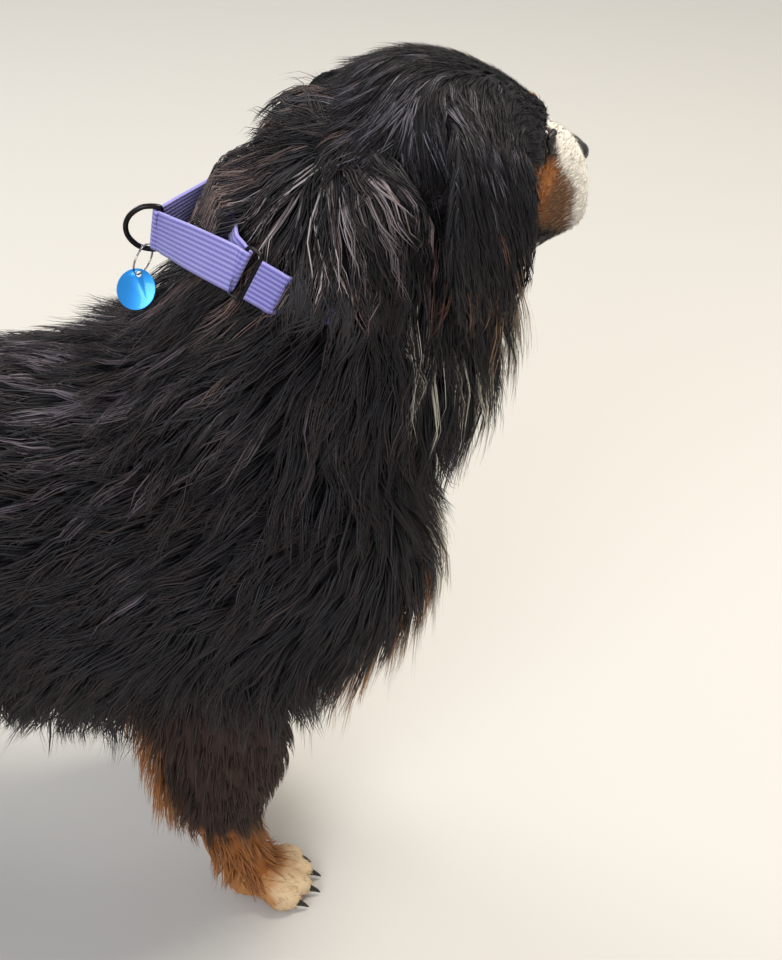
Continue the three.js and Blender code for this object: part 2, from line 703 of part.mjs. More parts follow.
// Where each node's locks grow. The trunk's keep clear of the neck and thighs, whose own lie over it.
const TRUNK_LOCKS = [
  { from: 0.26, to: 0.5, around: [74, 106], rows: 2, columns: 1, lie: [-1, 0, 0], length: 130, width: 84, rise: 13 },
  { from: 0.36, to: 0.53, around: [116, 206], rows: 2, columns: 3, lie: [-1, 0, -0.6], length: 100, width: 84 },
  { from: 0.36, to: 0.53, around: [-26, 64], rows: 2, columns: 3, lie: [-1, 0, -0.6], length: 100, width: 84 },
  { from: 0.36, to: 0.62, around: [214, 326], rows: 3, columns: 3, lie: [-0.8, 0, -1], length: 110, width: 66, rise: 21 },
  { from: 0.92, to: 0.92, around: [194, 346], rows: 1, columns: 4, lie: [-0.4, 0, -1], length: 96, width: 62, rise: 19 },
];
const NECK_LOCKS = [
  { from: 0.62, to: 0.86, around: [30, 150], rows: 2, columns: 4, lie: [-0.8, 0, -0.6], length: 130, width: 66, rise: 18 },
  { from: 0.3, to: 0.3, around: [128, 224], rows: 1, columns: 3, lie: [-0.9, 0, -0.7], length: 150, width: 74, rise: 19 },
  { from: 0.3, to: 0.3, around: [-44, 52], rows: 1, columns: 3, lie: [-0.9, 0, -0.7], length: 150, width: 74, rise: 19 },
  { from: 0.3, to: 0.78, around: [218, 322], rows: 3, columns: 3, lie: [0, 0, -1], length: 150, width: 74, rise: 20 },
];
const FORELEG_LOCKS = [
  { from: 0.2, to: 0.56, around: [250, 290], rows: 4, columns: 1, lie: [-0.6, 0, -1], length: 88, width: 44, rise: 16 },
];
const THIGH_LOCKS = [
  { from: 0.34, to: 0.66, around: [232, 300], rows: 3, columns: 2, lie: [-0.6, 0, -1], length: 96, width: 54, rise: 19 },
];
const TAIL_LOCKS = [
  { from: 0.24, to: 0.86, around: [20, 380], rows: 4, columns: 3, lie: [-0.25, 0, -1], length: 120, width: 50, rise: 16 },
];
const EAR_LOCKS = [
  { from: 0.74, to: 0.84, around: [210, 330], rows: 1, columns: 3, lie: [0.2, 0, -1], length: 44, width: 26, rise: 5 },
];

// A core with its locks, as one solid
function coated(shape, grid, patches, seed, grow = 0) {
  const surface = drawn(shape);
  return joined([made(grown(shape, grow), ...grid), ...locksOn(surface, seed, patches, grow)]);
}
// The room that a coated solid takes from its neighbours: itself and itself grown
const roomFor = (coat, grow) => joined([coat(grow), coat(0)]);
const trunkCoat = (grow = 0) => coated(TRUNK, [24, 17], TRUNK_LOCKS, 11, grow);
const neckCoat = (grow = 0) => coated(NECK, [22, 12], NECK_LOCKS, 23, grow);
const tailCoat = (grow = 0) => coated(TAIL, [10, 13], TAIL_LOCKS, 37, grow);
function forelegCoat(side, step) {
  const leg = coated(foreleg(side, step), [12, 10], FORELEG_LOCKS, 41 + side);
  return leg.add(foot(step - 3, side * STANCE_HALF));
}
const thighCoat = (side, step, grow = 0) => coated(thigh(side, step), [14, 9], THIGH_LOCKS, 79 + side, grow);
const hindfoot = (side, step) => made(hock(side, step), 10, 11).add(foot(-540 + step, side * 94));

const band = strap(bandPlaces(), STRAP_WIDE, STRAP_THICK, false);
const loop = strap(loopPlaces(), STRAP_WIDE, STRAP_THICK, true);
const collarGrown = joined([
  strap(bandPlaces(), STRAP_WIDE, STRAP_THICK, false, GAP),
  strap(loopPlaces(), STRAP_WIDE, STRAP_THICK, true, GAP),
]);
const trunkGrown = roomFor(trunkCoat, 2 * GAP);
const eyes = { right: eyeBall(-1), left: eyeBall(1) };
const eyesGrown = joined([eyeBall(-1, GAP), eyeBall(1, GAP)]);
const headSolid = largest(
  joined([headCore(), ...lids(-1), ...lids(1)]).subtract(joined([eyesGrown, noseLeather(GAP)])),
);

const dog = new THREE.Group();
dog.position.set(...MIDDLE, 0);
const headGroup = new THREE.Group();
headGroup.position.set(...HEAD_AT);
headGroup.rotation.set(0, HEAD_PITCH, HEAD_YAW, "ZYX");
dog.add(headGroup);

const look = (color, roughness, metalness = 0) => new THREE.MeshStandardMaterial({ color, roughness, metalness });
const LOOKS = {
  black: look(0x17151a, 0.75),
  rust: look(0x9a5527, 0.75),
  leather: look(0x0e0d0f, 0.35),
  eye: look(0x2a1408, 0.08),
  webbing: look(0x8a86d8, 0.8),
  metal: look(0x22211f, 0.4, 0.9),
  tag: look(0x0a8fd6, 0.25, 0.6),
};
function node(group, name, solid, material) {
  const mesh = new THREE.Mesh(geometryFrom(solid), material);
  mesh.name = name;
  group.add(mesh);
}

// Each ear hangs over the cheek and the collar, and the neck's coat keeps clear of both
const collarInHead = collarGrown.transform(headPlace.clone().invert().elements);
const earCoat = (side, grow = 0) => coated(ear(side), [12, 11], EAR_LOCKS, 64 + side, grow);
const earSolid = (side) => largest(earCoat(side).subtract(joined([headCore(GAP), collarInHead])));
const earHollows = joined([-1, 1].map((side) => inWorld(roomFor((grow) => earCoat(side, grow), 1.2))));
// The hollow for the head in the neck is of few faces, so it stands a little off the head
const headHollow = inWorld(
  joined([solidOf(geometryOf(headSurface(3), 26, 22, 4)), made(grown(JAW, 1.6), 12, 8)]),
);
const hardware = joined([-1, 1].map((side) => blockRound(slideRing(side))).concat(blockRound(tagDisc())));
const neck = largest(neckCoat().subtract(joined([trunkGrown, headHollow, earHollows, collarGrown, hardware])));
node(dog, "trunk", largest(trunkCoat()), LOOKS.black);
node(dog, "neck", neck, LOOKS.black);
node(headGroup, "head", headSolid, LOOKS.black);
node(headGroup, "nose", largest(noseLeather()), LOOKS.leather);
node(headGroup, "eye_right", eyes.right, LOOKS.eye);
node(headGroup, "eye_left", eyes.left, LOOKS.eye);
for (const [name, side] of [["right", -1], ["left", 1]]) {
  node(headGroup, `ear_${name}`, earSolid(side), LOOKS.black);
}
const floor = floorBlock();
const LEGS = [
  ["right", -1, STEPS.foreRight, STEPS.hindRight],
  ["left", 1, STEPS.foreLeft, STEPS.hindLeft],
];
const thighsGrown = LEGS.map(([, side, , step]) => roomFor((grow) => thighCoat(side, step, grow), 1));
LEGS.forEach(([name, side, foreStep, hindStep], i) => {
  node(dog, `foreleg_${name}`, largest(forelegCoat(side, foreStep).subtract(joined([trunkGrown, floor]))), LOOKS.rust);
  node(dog, `thigh_${name}`, largest(thighCoat(side, hindStep).subtract(trunkGrown)), LOOKS.rust);
  const foot = hindfoot(side, hindStep).subtract(joined([thighsGrown[i], trunkGrown, floor]));
  node(dog, `hindfoot_${name}`, largest(foot), LOOKS.rust);
});
node(dog, "tail", largest(tailCoat().subtract(joined([trunkGrown, ...thighsGrown]))), LOOKS.black);
node(dog, "collar_band", band, LOOKS.webbing);
node(dog, "collar_loop", loop, LOOKS.webbing);
node(dog, "slide_ring_right", slideRing(-1), LOOKS.metal);
node(dog, "slide_ring_left", slideRing(1), LOOKS.metal);
node(dog, "lead_ring", leadRing(), LOOKS.metal);
node(dog, "tag_ring", tagRing(), LOOKS.metal);
node(dog, "tag", tagDisc(), LOOKS.tag);

export default dog;
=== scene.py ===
"""A long-coated mountain dog in its collar, life size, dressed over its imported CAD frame.

The skin is drawn from the same stations as the CAD part, pulled in by the depth of the coat. The coat
is solid tufts that follow the lie of the hair. Sizes are millimetres in the dog's own frame until they
are turned into metres by world(). The dog faces +X and its left side is +Y.
"""

import math

import bpy
import numpy as np
from mathutils import Matrix, Vector, kdtree
from mathutils.bvhtree import BVHTree

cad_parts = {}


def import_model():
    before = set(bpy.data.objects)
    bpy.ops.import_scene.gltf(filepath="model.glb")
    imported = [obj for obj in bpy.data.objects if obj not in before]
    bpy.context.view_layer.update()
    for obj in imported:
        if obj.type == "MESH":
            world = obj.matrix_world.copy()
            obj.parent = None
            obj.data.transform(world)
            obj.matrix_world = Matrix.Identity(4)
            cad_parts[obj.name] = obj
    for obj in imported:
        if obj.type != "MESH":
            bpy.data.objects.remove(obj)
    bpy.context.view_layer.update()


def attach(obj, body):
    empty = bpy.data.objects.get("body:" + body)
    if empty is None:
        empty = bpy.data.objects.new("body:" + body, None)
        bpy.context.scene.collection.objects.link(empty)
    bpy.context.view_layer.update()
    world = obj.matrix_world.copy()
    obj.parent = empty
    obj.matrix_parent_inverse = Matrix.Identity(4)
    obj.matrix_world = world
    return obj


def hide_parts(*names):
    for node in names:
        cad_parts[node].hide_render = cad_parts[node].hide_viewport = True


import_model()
rng = np.random.default_rng(7)

# How far the dog's own frame is moved to stand in the middle, and where its head is and how it turns
MIDDLE = np.array([219.5, 0.0, 0.0])
HEAD_AT = np.array([181.0, 38.0, 784.0])
HEAD_YAW = math.radians(41)
HEAD_PITCH = math.radians(25)
EYE_RADIUS = 12.0
EYES_AT = np.array([62.0, 39.0, 17.5])
NOSE_AT = np.array([145.5, 0.0, 9.5])
# Half the way between the feet of a pair, and how far ahead each foot stands
STANCE_HALF = 92.0
STEPS = {"fore_right": 0, "fore_left": -50, "hind_right": 22, "hind_left": -30}
# The skin's fineness, in metres, and its most triangles
SKIN_VOXEL = 0.0034
SKIN_TRIANGLES = 190000

HEAD_TURN = np.array(Matrix.Rotation(HEAD_YAW, 3, "Z") @ Matrix.Rotation(HEAD_PITCH, 3, "Y"))


def world(points):
    """Dog-frame millimetres to scene metres."""
    return (np.asarray(points, float) + MIDDLE) / 1000.0


def from_head(points):
    """Head-frame millimetres to dog-frame millimetres."""
    return np.asarray(points, float) @ HEAD_TURN.T + HEAD_AT


def to_head(points):
    """Dog-frame millimetres to head-frame millimetres."""
    return (np.asarray(points, float) - HEAD_AT) @ HEAD_TURN


def unit(vectors):
    """The same directions, each one long."""
    length = np.linalg.norm(vectors, axis=-1, keepdims=True)
    return vectors / np.maximum(length, 1e-9)


def smoothstep(low, high, value):
    """0 at low, 1 at high and a soft rise between them, in either order of the two."""
    share = np.clip((value - low) / (high - low), 0, 1)
    return share * share * (3 - 2 * share)


def ripple(points, size, seed=0):
    """A cheap smooth noise in -1..1: a few crossed waves, about size millimetres long."""
    turns = np.random.default_rng(seed + 100)
    total = np.zeros(len(points))
    for _ in range(5):
        wave = unit(turns.normal(size=3)) * (2 * math.pi / size) * turns.uniform(0.6, 1.5)
        total += np.sin(points @ wave + turns.uniform(0, 6.28))
    return total / 3.2


# Surfaces drawn along a path, as in the CAD source


def spline(points, t, clamped=False):
    """Places on a smooth line through points, t from 0 to 1. Clamped, it stays between its end values."""
    points = np.asarray(points, float)
    count = len(points)
    if clamped:
        ends = np.concatenate([points[:1], points, points[-1:]])
    else:
        first = 2 * points[0] - points[1]
        last = 2 * points[-1] - points[-2]
        ends = np.concatenate([[first], points, [last]])
    place = np.clip(t, 0, 1) * (count - 1)
    i = np.minimum(place.astype(int), count - 2)
    w = place - i
    if points.ndim > 1:
        w = w[:, None]
    a, b, c, d = ends[i], ends[i + 1], ends[i + 2], ends[i + 3]
    return 0.5 * (2 * b + (c - a) * w + (2 * a - 5 * b + 4 * c - d) * w**2 + (3 * b - a - 3 * c + d) * w**3)


class Drawn:
    """A rounded surface along a path: wide to its sides, tall to its upper side and low to its lower."""

    def __init__(
        self, path, wide, tall, low=None, side=(0, 1, 0), cap=(40, 40), square=2.0, cup=0.0, grow=0.0
    ):
        self.path = np.asarray(path, float)
        self.wide, self.tall, self.low = wide, tall, low if low is not None else tall
        self.side = np.asarray(side, float)
        self.cup, self.grow, self.power = cup, grow, 2 / square
        line = spline(self.path, np.linspace(0, 1, 200))
        total = np.linalg.norm(np.diff(line, axis=0), axis=1).sum()
        self.start, self.end = cap[0] / total, cap[1] / total

    def point(self, t, angle):
        """Places on the surface, t along it and the angle round it."""
        t = np.clip(t, 0, 1)
        centre = spline(self.path, t)
        along = unit(spline(self.path, t + 1e-3) - spline(self.path, t - 1e-3))
        up = unit(np.cross(along, self.side))
        across = unit(np.cross(up, along))
        a = np.minimum(1, t / self.start)
        b = np.minimum(1, (1 - t) / self.end)
        shrink = np.sqrt(1 - (1 - a) ** 2) * np.sqrt(1 - (1 - b) ** 2)
        c, n = np.cos(angle), np.sin(angle)
        size = spline(self.wide, t, True) * shrink + self.grow * np.minimum(1, shrink * 3)
        reach = np.where(n > 0, spline(self.tall, t, True), spline(self.low, t, True))
        reach = reach * shrink + self.grow * np.minimum(1, shrink * 3)
        x = np.maximum(size, 0) * np.sign(c) * np.abs(c) ** self.power
        y = np.maximum(reach, 0) * np.sign(n) * np.abs(n) ** self.power - self.cup * shrink * c * c
        return centre + across * x[:, None] + up * y[:, None]

    def grid(self, columns, rows, caps=5):
        """Rows of t and columns of angle, closer together in the rounded ends."""
        first = self.start * (1 - np.cos(np.linspace(0, math.pi / 2, caps + 1)))
        last = 1 - self.end * (1 - np.cos(np.linspace(math.pi / 2, 0, caps + 1)))
        middle = np.linspace(self.start, 1 - self.end, rows + 2)[1:-1]
        t = np.concatenate([first, middle, last])
        angle = np.linspace(0, 2 * math.pi, columns, endpoint=False)
        return np.meshgrid(t, angle, indexing="ij")


def grid_faces(rows, columns):
    """Faces of a closed grid whose first and last rows are drawn to a point."""
    r, c = np.meshgrid(np.arange(rows - 1), np.arange(columns), indexing="ij")
    n = (c + 1) % columns
    near, far = r * columns, (r + 1) * columns
    return np.stack([near + c, near + n, far + n, far + c], -1).reshape(-1, 4)


# Stations of trunk and head: x, upper edge, lower edge, half width
TRUNK_ROWS = [
    (-566, 540, 428, 58), (-528, 570, 368, 96), (-452, 588, 312, 124), (-360, 589, 273, 134),
    (-262, 588, 241, 144), (-168, 598, 223, 150), (-80, 614, 221, 152), (0, 612, 238, 148),
    (80, 584, 278, 130), (130, 538, 342, 102), (160, 500, 400, 70),
]
HEAD_ROWS = [
    (-108, 36, -46, 52), (-82, 52, -62, 66), (-46, 63, -73, 76), (-6, 66, -79, 79), (22, 60, -79, 74),
    (42, 50, -78, 64), (60, 39, -78, 56), (78, 34, -80, 51), (104, 33, -82, 48), (134, 31, -75, 46),
    (157, 24, -54, 39),
]
# Pushes on the head's surface: place on the left side, reach, push
HEAD_FORMS = [
    ((67, 46, 18), 13, (-7, -7, 0)), ((49, 33, 43), 13, (4, 4, 4)), ((68, 0, 38), 14, (-4, 0, -6)),
    ((28, 0, 61), 16, (0, 0, -3)), ((24, 72, -4), 26, (4, 5, 0)), ((4, 68, -48), 34, (4, 9, -6)),
    ((84, 50, 0), 15, (0, -6, 0)), ((106, 46, -62), 22, (2, 5, -6)), ((138, 34, -36), 18, (5, 4, -4)),
    ((156, 0, -24), 8, (-7, 0, 2)), ((66, 53, -60), 10, (-2, -8, 4)), ((146, 19, 24), 9, (0, 1, -3)),
]


def rows_shape(rows):
    """A shape from stations, each as x, upper edge, lower edge and half width."""
    return dict(
        path=[(x, 0, (top + low) / 2) for x, top, low, _ in rows],
        tall=[(top - low) / 2 for _, top, low, _ in rows],
        wide=[half for *_, half in rows],
    )


# The legs and ears: side is 1 for the left and -1 for the right, step is how far ahead the foot stands


def foreleg_shape(side, step):
    return dict(
        path=[
            (-20 + step * 0.2, side * 84, 420), (-34 + step * 0.3, side * 94, 316),
            (-35 + step * 0.55, side * 96, 219),
            (-38 + step * 0.85, side * 94, 135), (-28 + step, side * STANCE_HALF, 88),
            (-14 + step, side * STANCE_HALF, 48), (-6 + step, side * STANCE_HALF, 26),
        ],
        wide=[50, 54, 48, 39, 33, 31, 30],
        tall=[56, 72, 74, 52, 33, 29, 27],
        low=[60, 76, 74, 54, 35, 30, 28],
        cap=(40, 20),
    )


def thigh_shape(side, step):
    return dict(
        path=[
            (-486, side * 66, 520), (-482, side * 92, 440), (-450 + step * 0.4, side * 104, 350),
            (-470 + step * 0.6, side * 102, 268),
        ],
        wide=[62, 70, 64, 46], tall=[84, 96, 74, 50], low=[74, 92, 88, 62], cap=(50, 40),
    )


def hock_shape(side, step):
    return dict(
        path=[
            (-450 + step * 0.5, side * 100, 320), (-500 + step * 0.8, side * 99, 246),
            (-556 + step, side * 97, 178),
            (-570 + step, side * 96, 128), (-562 + step, side * 95, 70), (-548 + step, side * 94, 28),
        ],
        wide=[50, 42, 33, 30, 30, 30],
        tall=[48, 42, 32, 29, 29, 28],
        low=[52, 46, 37, 32, 30, 27],
        cap=(36, 20),
    )


def ear_shape(side):
    return dict(
        path=[
            (-40, side * 46, 18), (-46, side * 73, 8), (-43, side * 88, -18), (-30, side * 93, -54),
            (-10, side * 90, -92), (8, side * 84, -122),
        ],
        wide=[30, 44, 51, 49, 37, 20], tall=[9, 9, 8, 8, 7, 5], side=(1, 0, 0), cup=9 * side, cap=(26, 20),
    )


HEAD = dict(**rows_shape(HEAD_ROWS), cap=(36, 15), square=2.35)
HEAD_GROW = -4
NECK = dict(
    path=[(-40, 0, 490), (-10, 0, 570), (30, 0, 640), (72, 2, 698), (118, 14, 750), (158, 30, 792)],
    tall=[98, 96, 82, 84, 104, 84], low=[134, 186, 200, 186, 150, 92], wide=[118, 120, 106, 86, 100, 80],
    cap=(70, 45),
)
TAIL = dict(
    path=[
        (-534, 0, 528), (-578, 2, 518), (-620, 6, 470), (-644, 12, 396), (-656, 18, 310), (-668, 22, 236),
        (-690, 24, 180), (-722, 24, 146),
    ],
    tall=[34, 36, 36, 36, 36, 32, 24, 12], wide=[36, 38, 38, 38, 38, 34, 26, 12], cap=(30, 22),
)
JAW = dict(
    path=[(0, 0, -62), (40, 0, -71), (80, 0, -78), (110, 0, -77), (135, 0, -69)],
    tall=[22, 20, 17, 15, 12], low=[22, 19, 18, 16, 14], wide=[50, 43, 37, 32, 24], cap=(20, 14),
)

# Every part of the skin: how far it lies inside its CAD form, and the coat's depth over it
SKIN_PARTS = [
    ("trunk", dict(**rows_shape(TRUNK_ROWS), cap=(55, 60), square=2.2), -13, (56, 44)),
    ("neck", NECK, -13, (48, 30)),
    ("tail", TAIL, -14, (24, 36)),
    ("foreleg_right", foreleg_shape(-1, STEPS["fore_right"]), -9, (28, 34)),
    ("foreleg_left", foreleg_shape(1, STEPS["fore_left"]), -9, (28, 34)),
    ("thigh_right", thigh_shape(-1, STEPS["hind_right"]), -12, (36, 26)),
    ("thigh_left", thigh_shape(1, STEPS["hind_left"]), -12, (36, 26)),
    ("hock_right", hock_shape(-1, STEPS["hind_right"]), -7, (24, 34)),
    ("hock_left", hock_shape(1, STEPS["hind_left"]), -7, (24, 34)),
    ("head", HEAD, HEAD_GROW, (96, 84)),
    ("jaw", JAW, -2, (36, 26)),
    ("ear_right", ear_shape(-1), -2.5, (40, 34)),
    ("ear_left", ear_shape(1), -2.5, (40, 34)),
]
IN_HEAD = ("head", "jaw", "ear_right", "ear_left")


def push_head(points):
    """The head's surface with its stop, sockets, cheeks and flews pushed in or out."""
    moved = points.copy()
    for at, reach, push in HEAD_FORMS:
        for side in (1, -1) if at[1] else (1,):
            centre = np.array([at[0], at[1] * side, at[2]])
            fall = np.exp(-((points - centre) ** 2).sum(1) / reach**2)
            moved += fall[:, None] * np.array([push[0], push[1] * side, push[2]])
    return moved


def foot_places():
    """Middle of each foot and its side, on the floor."""
    return [
        ("foot_fr", STEPS["fore_right"] - 3, -STANCE_HALF), ("foot_fl", STEPS["fore_left"] - 3, STANCE_HALF),
        ("foot_hr", -540 + STEPS["hind_right"], -94), ("foot_hl", -540 + STEPS["hind_left"], 94),
    ]


# Each toe's place beside and ahead of the foot's middle, and the height that the soles are cut at
TOES = [(-28, 22), (-10, 33), (10, 33), (28, 22)]
SOLE_HEIGHT = 1.2


def ball(at, radii, columns=20, rows=14):
    """An ellipsoid as a closed grid of points, for toes, pads and the like."""
    around = np.linspace(0, 2 * math.pi, columns, endpoint=False)
    t, angle = np.meshgrid(np.linspace(0, math.pi, rows), around, indexing="ij")
    points = np.stack([np.sin(t) * np.cos(angle), np.sin(t) * np.sin(angle), np.cos(t)], -1).reshape(-1, 3)
    return points * np.asarray(radii, float) + np.asarray(at, float), grid_faces(rows, columns)


class Labels:
    """Known points on every part, each with its way along, its t and its angle round the part."""

    def __init__(self):
        self.names, self.points, self.along, self.t, self.angle, self.part = [], [], [], [], [], []

    def add(self, name, points, along, t, angle):
        self.names.append(name)
        self.points.append(points)
        self.along.append(along)
        self.t.append(t)
        self.angle.append(angle)
        self.part.append(np.full(len(points), len(self.names) - 1))

    def close(self):
        for key in ("points", "along", "t", "angle", "part"):
            setattr(self, key, np.concatenate(getattr(self, key)))
        self.tree = kdtree.KDTree(len(self.points))
        for i, p in enumerate(self.points):
            self.tree.insert(p, i)
        self.tree.balance()

    def nearest(self, points):
        return np.array([self.tree.find(p)[1] for p in points])


def merged(forms):
    """Several closed forms as one set of points and faces."""
    points, faces, count = [], [], 0
    for form_points, form_faces in forms:
        points.append(form_points)
        faces.append(form_faces + count)
        count += len(form_points)
    return np.concatenate(points), np.concatenate(faces)


def ring_faces(rings, sides, closed):
    """Faces between rings of points: back to the first ring if closed, otherwise with two ends."""
    faces = []
    for r in range(rings if closed else rings - 1):
        n = (r + 1) % rings
        for s in range(sides):
            t = (s + 1) % sides
            faces.append((r * sides + s, r * sides + t, n * sides + t, n * sides + s))
    if not closed:
        faces += [tuple(range(sides))[::-1], tuple((rings - 1) * sides + s for s in range(sides))]
    return faces


def mesh_object(name, points, faces):
    """A new object from points in metres and faces."""
    mesh = bpy.data.meshes.new(name)
    mesh.from_pydata([tuple(p) for p in points], [], [tuple(f) for f in faces])
    mesh.validate()
    obj = bpy.data.objects.new(name, mesh)
    bpy.context.scene.collection.objects.link(obj)
    return obj


def vertex_places(mesh):
    places = np.empty(len(mesh.vertices) * 3)
    mesh.vertices.foreach_get("co", places)
    return places.reshape(-1, 3)


def paint(mesh, name, shade):
    """Linear colours at a mesh's vertices, as an attribute that its material reads."""
    full = np.concatenate([shade, np.ones((len(shade), 1))], 1)
    attribute = mesh.attributes.new(name, "FLOAT_COLOR", "POINT")
    attribute.data.foreach_set("color", full.astype(np.float32).ravel())


def activate(obj):
    bpy.ops.object.select_all(action="DESELECT")
    obj.select_set(True)
    bpy.context.view_layer.objects.active = obj


def modify(obj, kind, **settings):
    """Adds one modifier and applies it."""
    activate(obj)
    modifier = obj.modifiers.new(kind.title(), kind)
    for key, value in settings.items():
        setattr(modifier, key, value)
    bpy.ops.object.modifier_apply(modifier=modifier.name)


def join(made, name):
    """Several objects as one piece."""
    activate(made[0])
    for obj in made:
        obj.select_set(True)
    bpy.ops.object.join()
    joined = bpy.context.object
    joined.name = joined.data.name = name
    return joined


def build_skin():
    """One closed skin over trunk, neck, head, ears, legs and tail, and the labels of its parts."""
    labels = Labels()
    forms = []
    for name, shape, grow, (columns, rows) in SKIN_PARTS:
        surface = Drawn(**shape, grow=grow)
        t, angle = surface.grid(columns, rows)
        flat_t, flat_angle = t.ravel(), angle.ravel()
        points = surface.point(flat_t, flat_angle)
        along = unit(spline(surface.path, flat_t + 1e-3) - spline(surface.path, flat_t - 1e-3))
        if name == "head":
            points = push_head(points)
        if name in IN_HEAD:
            points = from_head(points)
            along = along @ HEAD_TURN.T
        labels.add(name, points, along, flat_t, flat_angle)
        forms.append((points, grid_faces(*t.shape)))
    for name, x, y in foot_places():
        foot = [ball((x - 14, y, 27), (26, 27, 25)), ball((x + 8, y, 22), (26, 31, 21))]
        foot += [ball((x + ahead, y + off, 15), (18, 11, 15)) for off, ahead in TOES]
        for points, _ in foot:
            points[:, 2] = np.maximum(points[:, 2], SOLE_HEIGHT)
        forms += foot
        points = np.concatenate([points for points, _ in foot])
        forward = np.tile([0.9, 0.0, -0.4], (len(points), 1))
        share = (points[:, 0] - x + 40) / 100
        labels.add(name, points, forward, share, np.arctan2(points[:, 2] - 20, points[:, 1] - y))
    labels.close()
    points, faces = merged(forms)
    skin = mesh_object("skin", world(points), faces)
    modify(skin, "REMESH", mode="VOXEL", voxel_size=SKIN_VOXEL, adaptivity=0.0)
    modify(skin, "SMOOTH", factor=0.5, iterations=5)
    triangles = 2 * len(skin.data.polygons)
    modify(skin, "DECIMATE", ratio=min(1, SKIN_TRIANGLES / triangles))
    skin.data.shade_smooth()
    return skin, labels


# The coat's markings, as one function of place: black, rust and white, with soft ragged edges


def colour(hex_code):
    """An sRGB hex colour as linear values."""
    values = np.array([int(hex_code[i : i + 2], 16) / 255 for i in (1, 3, 5)])
    return np.where(values <= 0.04045, values / 12.92, ((values + 0.055) / 1.055) ** 2.4)


# Coat colours. The flew is the brown of the upper lip's side, and a black hair's tip is sun-bleached.
BLACK = colour("#17161b")
BLACK_TIP = colour("#45352f")
RUST = colour("#9e5f2c")
RUST_PALE = colour("#d7a367")
WHITE = colour("#e4dfd5")
CREAM = colour("#e6cfa8")
FLEW = colour("#75553d")
LIP = colour("#2c231f")


def mix(base, over, amount):
    """Colours laid over others, by an amount for each point."""
    return base * (1 - amount[:, None]) + over * amount[:, None]


def markings(points, part, names):
    """Linear colours at dog-frame points, for skin and hair alike."""
    wobble = ripple(points, 46, 1)
    fine = ripple(points, 15, 2)
    edge = wobble * 7 + fine * 3
    x, y, z = points.T
    out = np.tile(BLACK, (len(points), 1))

    def on(*wanted):
        return np.isin(part, [i for i, n in enumerate(names) if n.startswith(wanted)])

    # White bib from the throat down between the forelegs, with a rust patch on each side
    front = on("neck", "trunk", "foreleg")
    neck_x = np.interp(z, [400, 490, 570, 640, 698, 750, 792], [-20, -40, -10, 30, 72, 118, 158])
    neck_y = np.interp(z, [380, 470, 600, 700, 792], [4, 22, 22, 18, 34])
    off = np.abs(y - neck_y)
    ahead = smoothstep(46, 84, x - neck_x + edge)
    bib_half = 26 + 18 * smoothstep(350, 470, z) - 16 * smoothstep(520, 620, z)
    rust_side = smoothstep(bib_half + 40, bib_half + 18, off + edge) * smoothstep(432, 396, z + edge)
    out = mix(out, RUST, front * ahead * rust_side)
    out = mix(out, WHITE, front * ahead * smoothstep(bib_half + 7, bib_half - 7, off + edge))
    # Forelegs: black above, rust below with black down the front, pale toes
    fore = on("foreleg", "foot_f") & (z < 400)
    step = np.where(y < 0, 0.0, STEPS["fore_left"])
    centre = np.interp(z, [90, 140, 320], [-50, -78, -104]) + step * np.interp(z, [135, 316], [0.85, 0.3])
    black_front = smoothstep(-6, 14, x - centre + edge * 0.6) * smoothstep(96, 128, z + edge)
    out = mix(out, RUST, fore * smoothstep(330, 270, z + edge * 1.5) * (1 - 0.92 * black_front))
    inner = smoothstep(84, 66, np.abs(y) + edge * 0.5)
    out = mix(out, RUST, fore * inner * smoothstep(360, 300, z))
    # Hind legs: black thigh, rust behind, inside and below
    hind = on("thigh", "hock", "foot_h")
    back = smoothstep(-520, -560, x + edge) * smoothstep(420, 380, z) * smoothstep(96, 74, np.abs(y) + edge)
    inside = smoothstep(86, 62, np.abs(y) + edge * 0.5)
    below = smoothstep(250, 200, z + edge * 1.5)
    out = mix(out, RUST, hind * np.maximum.reduce([back, inside, below]))
    toes = on("foot") * smoothstep(46, 26, z + edge * 0.5) * smoothstep(4, 24, local_ahead(x, y) + fine * 5)
    out = mix(out, RUST_PALE, on("foot") * 0.45)
    out = mix(out, CREAM, toes * on("foot_f") * 0.8)
    out = mix(out, WHITE, toes * on("foot_h") * 0.9)
    # Tail: rust beneath its root. Its end is white below the black hair that hangs over it.
    tail = on("tail")
    under_tail = smoothstep(-612, -590, x + edge) * smoothstep(500, 470, z) * smoothstep(400, 440, z)
    out = mix(out, RUST, tail * under_tail * 0.8)
    out = mix(out, WHITE, tail * smoothstep(186, 160, z + edge))
    out = mix_head(out, points, on("head", "jaw", "ear"), on("ear"), on("jaw"), edge, fine)
    return out


def local_ahead(x, y):
    """How far ahead of its own foot's middle a point is."""
    ahead = np.full(len(x), -99.0)
    for _, foot_x, foot_y in foot_places():
        near = (np.abs(x - foot_x) < 90) & (np.sign(y) == np.sign(foot_y))
        ahead = np.where(near, x - foot_x, ahead)
    return ahead


